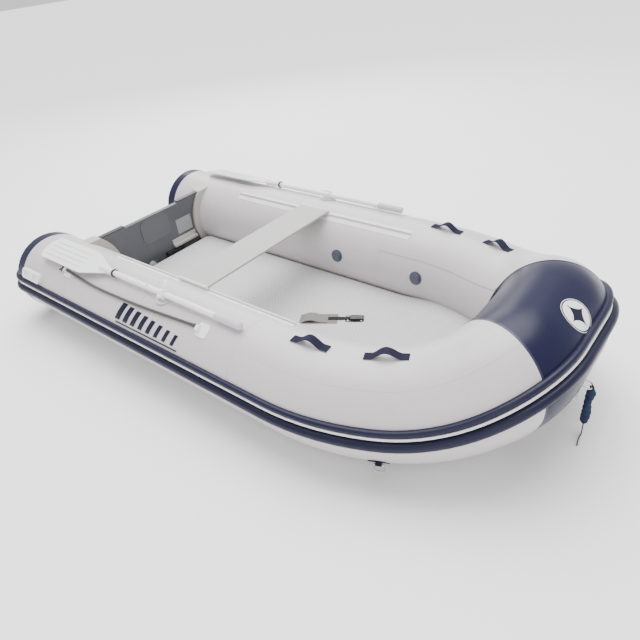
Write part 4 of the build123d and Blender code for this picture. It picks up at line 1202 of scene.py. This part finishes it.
def arch_line(length, rise, foot, steps, lift=0.0):
    """A strap's side view: flat feet and a bell-shaped hump between them."""
    spots = []
    inner = length / 2 - foot
    for k in range(steps + 1):
        x = -length / 2 + length * k / steps
        share = min(1.0, abs(x) / inner)
        spots.append(Vector((x, 0, lift + rise * (0.5 + 0.5 * math.cos(math.pi * share)) ** 0.8)))
    return spots


navy_webbing = webbing("navy_webbing", webbing_navy)
grey_webbing = webbing("grey_webbing", (0.26, 0.27, 0.31, 1))
top_bm, lining_bm = bmesh.new(), bmesh.new()
handle_layers = [(top_bm, STRAP_T + LAYER_GAP, HANDLE_W), (lining_bm, 0.0, LINING_W)]
for ahead in HANDLE_AHEAD:
    for mirror_sign in (1, -1):
        spot = Matrix.Diagonal((1, mirror_sign, 1, 1)) @ on_hull(ahead, 90, HANDLE_LIFT)
        for bm, lift, wide in handle_layers:
            part = bmesh.new()
            arch = arch_line(HANDLE_L, HANDLE_RISE - 2 * STRAP_T, HANDLE_FOOT, HANDLE_STEPS, lift)
            strip(part, arch, wide, STRAP_T, (0, 1, 0))
            low = min(vert.co.z for vert in part.verts)
            bmesh.ops.translate(part, verts=part.verts, vec=(0, 0, lift - low))
            placed(part, spot)
            outward(part)
            holder = bpy.data.meshes.new("part")
            part.to_mesh(holder)
            bm.from_mesh(holder)
            bpy.data.meshes.remove(holder)
            part.free()
handle_tops = piece("grab_handle_straps", top_bm, navy_webbing, sharp=30)
piece("grab_handle_linings", lining_bm, grey_webbing, sharp=30)
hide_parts("grab_handles")

# Round screw valves in slate plastic, one for each air chamber and one for the deck. The chambers'
# valves sit in collars on the inner faces of the tubes.
valve_slate = moulded("valve_slate", (0.080, 0.090, 0.125, 1), 0.4)
clad("chamber_valves", valve_slate)
for node in ("port_aft_valve_cap", "port_fore_valve_cap", "starboard_valve_cap", "deck_valve_cap"):
    clad(node, valve_slate)

# White moulded fittings: the lifeline's holders on the shoulders of the tubes, and a fitting with
# two recesses near the stern of each tube.
clad("line_holders", white_plastic)
clad("stern_fittings", white_plastic)

# Steel rings hang from webbing tabs, in the middle and at each side of the bow. A padded grip
# sleeve, a soft navy roll with folds, hangs from the middle one by an eye of its own.
for node in ("bow_ring", "wire_ring", "port_side_ring", "starboard_side_ring"):
    clad(node, steel)
for node, tab_name in (("bow_tab", "bow_tab_webbing"), ("ring_tabs", "ring_tab_webbing")):
    tab_bm = copied(node)
    tab = piece(tab_name, tab_bm, navy_webbing, sharp=30)
    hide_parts(node)
SLEEVE_R = (sleeve_high.x - sleeve_low.x) / 2 + 0.002
SLEEVE_SIDES = 28
SLEEVE_FOLDS = (0.10, 0.05)
SLEEVE_TAPER = 9
SLEEVE_ROUTE = [
    (sleeve_x, 0, sleeve_high.z - 0.016),
    (sleeve_x + 0.002, 0.007, sleeve_high.z - 0.042),
    (sleeve_x - 0.005, 0.005, sleeve_high.z - 0.078),
    (sleeve_x + 0.003, -0.011, sleeve_low.z + 0.055),
    (sleeve_x - 0.002, -0.009, sleeve_low.z + 0.022),
    (sleeve_x, 0, sleeve_low.z),
]
sleeve_line = evenly(route_line(SLEEVE_ROUTE), 0.002)
sleeve_bm = bmesh.new()
rod(sleeve_bm, sleeve_line, SLEEVE_R, SLEEVE_SIDES)
for vert in sleeve_bm.verts:
    near = min(range(len(sleeve_line)), key=lambda k: (sleeve_line[k] - vert.co).length)
    centre = sleeve_line[near]
    share = near / (len(sleeve_line) - 1)
    end_in = min(1.0, min(share, 1 - share) * SLEEVE_TAPER)
    arm = vert.co - centre
    angle = math.atan2(arm.y, arm.x)
    fold = SLEEVE_FOLDS[0] * math.sin(2 * angle + share * 11)
    fold += SLEEVE_FOLDS[1] * math.sin(share * 52)
    vert.co = centre + arm * ((0.45 + 0.55 * end_in) * (0.90 + fold))
outward(sleeve_bm)
sleeve_navy = webbing("sleeve_navy", (0.016, 0.024, 0.062, 1), 0.003, 0.7)
sleeve = piece("padded_grip_sleeve", sleeve_bm, sleeve_navy, "grip_sleeve_body")
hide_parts("grip_sleeve")
EYE_R = 0.0062
EYE_WIRE = 0.0024
eye_bm = bmesh.new()
eye_at = (sleeve_x, 0, sleeve_high.z - 0.0080)
wire_loop(eye_bm, eye_at, (EYE_R, 0, 0), (0, 0, 1), EYE_WIRE, 32)
outward(eye_bm)
piece("sleeve_eye", eye_bm, navy_webbing, "grip_sleeve_body")

# A cargo strap is sewn to the deck: a folded grey flap, a thin black web and a side-release buckle.
# The buckle lies on a black backing plate, between two pale bars that are a painted highlight.
STRAP_TURN = math.radians(31)
STRAP_AT = Vector((0.222, -0.062, DECK_TOP))
STRAP_L = 0.190
STRAP_W = 0.080
WEB_W = 0.022
FLAP_T = 0.0016
WEB_T = 0.0014
BUCKLE_AT = 0.180
BACKING_SIZE = (0.092, 0.058, 0.0012)
HIGHLIGHT_BAR_SIZE = (0.0070, 0.046, 0.0014)
HIGHLIGHT_BAR_PLACES = (-0.034, 0.034)
BACKING_CORNER = 0.010
HIGHLIGHT_BAR_EDGE = 0.0004
FOLD_IN = 0.012
WEB_SHORT = 0.012
FOLD_SHARE = 0.86
FLAP_HEIGHTS = [0.002, 0.002, 0.003, 0.002, 0.002]
FOLD_HEIGHTS = [0.005, 0.016, 0.018, 0.009, 0.0045, 0.0045]
WEB_HEIGHTS = [0.0050, 0.0065, 0.0045, 0.0055]
strap_stand = Matrix.Translation(STRAP_AT) @ Matrix.Rotation(STRAP_TURN, 4, "Z")


def strap_line(x0, x1, heights):
    """A strap's line on the deck through evenly spaced heights."""
    route = []
    for k, height in enumerate(heights):
        route.append((x0 + (x1 - x0) * k / (len(heights) - 1), 0, height))
    return evenly(route_line(route, 8), 0.003)


def strap_piece(name, line, width, thick, finish):
    bm = bmesh.new()
    strip(bm, line, width, thick, (0, 1, 0))
    placed(bm, strap_stand)
    outward(bm)
    return piece(name, bm, finish, sharp=40)


strap_grey = webbing("strap_grey", (0.19, 0.185, 0.175, 1), 0.003)
web_black = webbing("web_black", (0.02, 0.02, 0.022, 1), 0.002)
flap_lower = strap_line(-STRAP_L / 2, STRAP_L / 2, FLAP_HEIGHTS)
flap = strap_piece("strap_flap", flap_lower, STRAP_W, FLAP_T, strap_grey)
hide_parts("deck_strap")
fold_line = strap_line(-STRAP_L / 2 + FOLD_IN, STRAP_L / 4, FOLD_HEIGHTS)
strap_piece("strap_fold", fold_line, STRAP_W * FOLD_SHARE, FLAP_T, strap_grey)
web_line = strap_line(STRAP_L / 4, BUCKLE_AT - WEB_SHORT, WEB_HEIGHTS)
strap_piece("strap_web", web_line, WEB_W, WEB_T, web_black)
clad("buckle_socket", black_plastic)
clad("buckle_plug", black_plastic)
light_plastic = moulded("light_plastic", (0.55, 0.55, 0.54, 1), 0.4)
backing_bm = bmesh.new()
block(backing_bm, BACKING_SIZE, (BUCKLE_AT, 0, BACKING_SIZE[2] / 2))
upright = [
    edge for edge in backing_bm.edges
    if abs(edge.verts[0].co.z - edge.verts[1].co.z) > BACKING_SIZE[2] / 2
]
rounded(backing_bm, upright, BACKING_CORNER, 5)
placed(backing_bm, strap_stand)
piece("buckle_backing", backing_bm, black_plastic, sharp=40)
# Two pale bars on the backing plate: a painted highlight on the black buckle.
highlight_bars_bm = bmesh.new()
for highlight_bar_x in HIGHLIGHT_BAR_PLACES:
    block(highlight_bars_bm, HIGHLIGHT_BAR_SIZE, (BUCKLE_AT + highlight_bar_x, 0, BACKING_SIZE[2] + HIGHLIGHT_BAR_SIZE[2] / 2))
rounded(highlight_bars_bm, highlight_bars_bm.edges[:], HIGHLIGHT_BAR_EDGE, 2)
placed(highlight_bars_bm, strap_stand)
piece("buckle_highlight_bars", highlight_bars_bm, light_plastic, sharp=40)

# Printed marks: a plain round badge with a four-point star on the nose, and a row of slanted bars
# on each side tube. They are thin vinyl, cut and pressed on to the fabric.
BADGE_R = 0.060
BADGE_UP = math.radians(52)
BADGE_Y = -0.028
PRINT_T = 0.0007
STAR_POWER = 0.62
TOP_LAYER = 2.2
BARS = 8
BAR_H = 0.086
BAR_W = 0.036
BAR_STEP = 0.056
BAR_SLANT = 0.42
BARS_FROM = -0.415
BARS_UP = math.radians(37)


def print_finish(name, colour):
    """Pressed vinyl: an even colour with faint ripples and a slightly glossier face."""
    finish = Finish(name, roughness=0.35, Specular_IOR_Level=0.2)
    ripple = finish.noise(30, 3)
    finish.coloured(finish.mixed(ripple, shade(colour, 0.95), shade(colour, 1.04)))
    finish.roughened(0.26 + 0.12 * ripple)
    finish.embossed(ripple, 0.0003, 0.4)
    return finish


def pressed_on(bm, stand, radius, lift):
    """Bends a flat shape round a tube whose surface passes through the stand's origin."""
    for vert in bm.verts:
        x, y, z = vert.co
        around = y / radius
        reach = radius + z + lift
        vert.co = stand @ Vector((x, reach * math.sin(around), reach * math.cos(around) - radius))


def disc(bm, radius, inner=0.0, rings=9, segments=96, points=False):
    """A flat disc, band or four-point star made of rings, fine enough to bend."""
    ring = bmesh.ops.create_circle(bm, segments=segments, radius=radius, cap_ends=False)["verts"]
    edges = linked(ring, "link_edges")
    least = max(inner, radius * 0.04)
    share = 1.0
    for step in range(1, rings + 1):
        onward = 1 - step / rings * (1 - least / radius)
        edges = pulled(bm, edges, Vector((0, 0, 0)))
        bmesh.ops.scale(bm, verts=linked(edges, "verts"), vec=(onward / share, onward / share, 1))
        share = onward
    if not inner:
        bmesh.ops.edgeloop_fill(bm, edges=edges)
    if points:
        for vert in bm.verts:
            around = math.atan2(vert.co.y, vert.co.x)
            spread = abs(math.cos(around)) ** STAR_POWER + abs(math.sin(around)) ** STAR_POWER
            vert.co *= spread ** (-1 / STAR_POWER)


def printed(name, bm, stand, layer, finish):
    """Bends a flat mark on to the tube, thickens it and names it."""
    pressed_on(bm, stand, TUBE_R, PRINT_T * layer)
    bmesh.ops.solidify(bm, geom=bm.faces[:], thickness=PRINT_T)
    outward(bm)
    return piece(name, bm, finish, sharp=30)


print_white = print_finish("print_white", (0.86, 0.86, 0.86, 1))
print_navy = print_finish("print_navy", (0.006, 0.0065, 0.026, 1))
badge_normal = Vector((math.cos(BADGE_UP), 0, math.sin(BADGE_UP)))
badge_at = Vector((BOW_X, BADGE_Y, BOW_Z)) + badge_normal * TUBE_R
badge_stand = stood(badge_at, badge_normal, (0, 1, 0))
disc_bm, band_bm, star_bm = bmesh.new(), bmesh.new(), bmesh.new()
disc(disc_bm, BADGE_R)
disc(band_bm, BADGE_R * 1.12, inner=BADGE_R * 1.085, rings=1)
disc(star_bm, BADGE_R * 0.82, points=True)
printed("badge_disc", disc_bm, badge_stand, 1, print_white)
printed("badge_band", band_bm, badge_stand, 1, print_white)
printed("badge_star", star_bm, badge_stand, TOP_LAYER, print_navy)
for side, way in (("port", 1), ("starboard", -1)):
    bars_bm = bmesh.new()
    for bar in range(BARS):
        tall = BAR_H * (1 - 0.055 * bar)
        made = bmesh.ops.create_grid(bars_bm, x_segments=2, y_segments=10, size=0.5)["verts"]
        bmesh.ops.scale(bars_bm, verts=made, vec=(BAR_W * (1 - 0.06 * bar), tall, 1))
        for vert in made:
            vert.co.x += vert.co.y * BAR_SLANT
        bmesh.ops.translate(bars_bm, verts=made, vec=(bar * BAR_STEP, (tall - BAR_H) / 2, 0))
    line = bmesh.ops.create_grid(bars_bm, x_segments=24, y_segments=1, size=0.5)["verts"]
    bmesh.ops.scale(bars_bm, verts=line, vec=(BAR_STEP * BARS, BAR_W * 0.2, 1))
    bmesh.ops.translate(bars_bm, verts=line, vec=(BAR_STEP * (BARS - 1) / 2, -BAR_H * 0.66, 0))
    out = Vector((0, way * math.cos(BARS_UP), math.sin(BARS_UP)))
    if way > 0:
        bmesh.ops.scale(bars_bm, verts=bars_bm.verts, vec=(1, -1, 1))
    bars_at = Vector((BARS_FROM, way * TUBE_Y, AXIS_Z)) + out * TUBE_R
    bars_stand = stood(bars_at, out, (1, 0, 0))
    printed(side + "_side_bars", bars_bm, bars_stand, TOP_LAYER, print_navy)
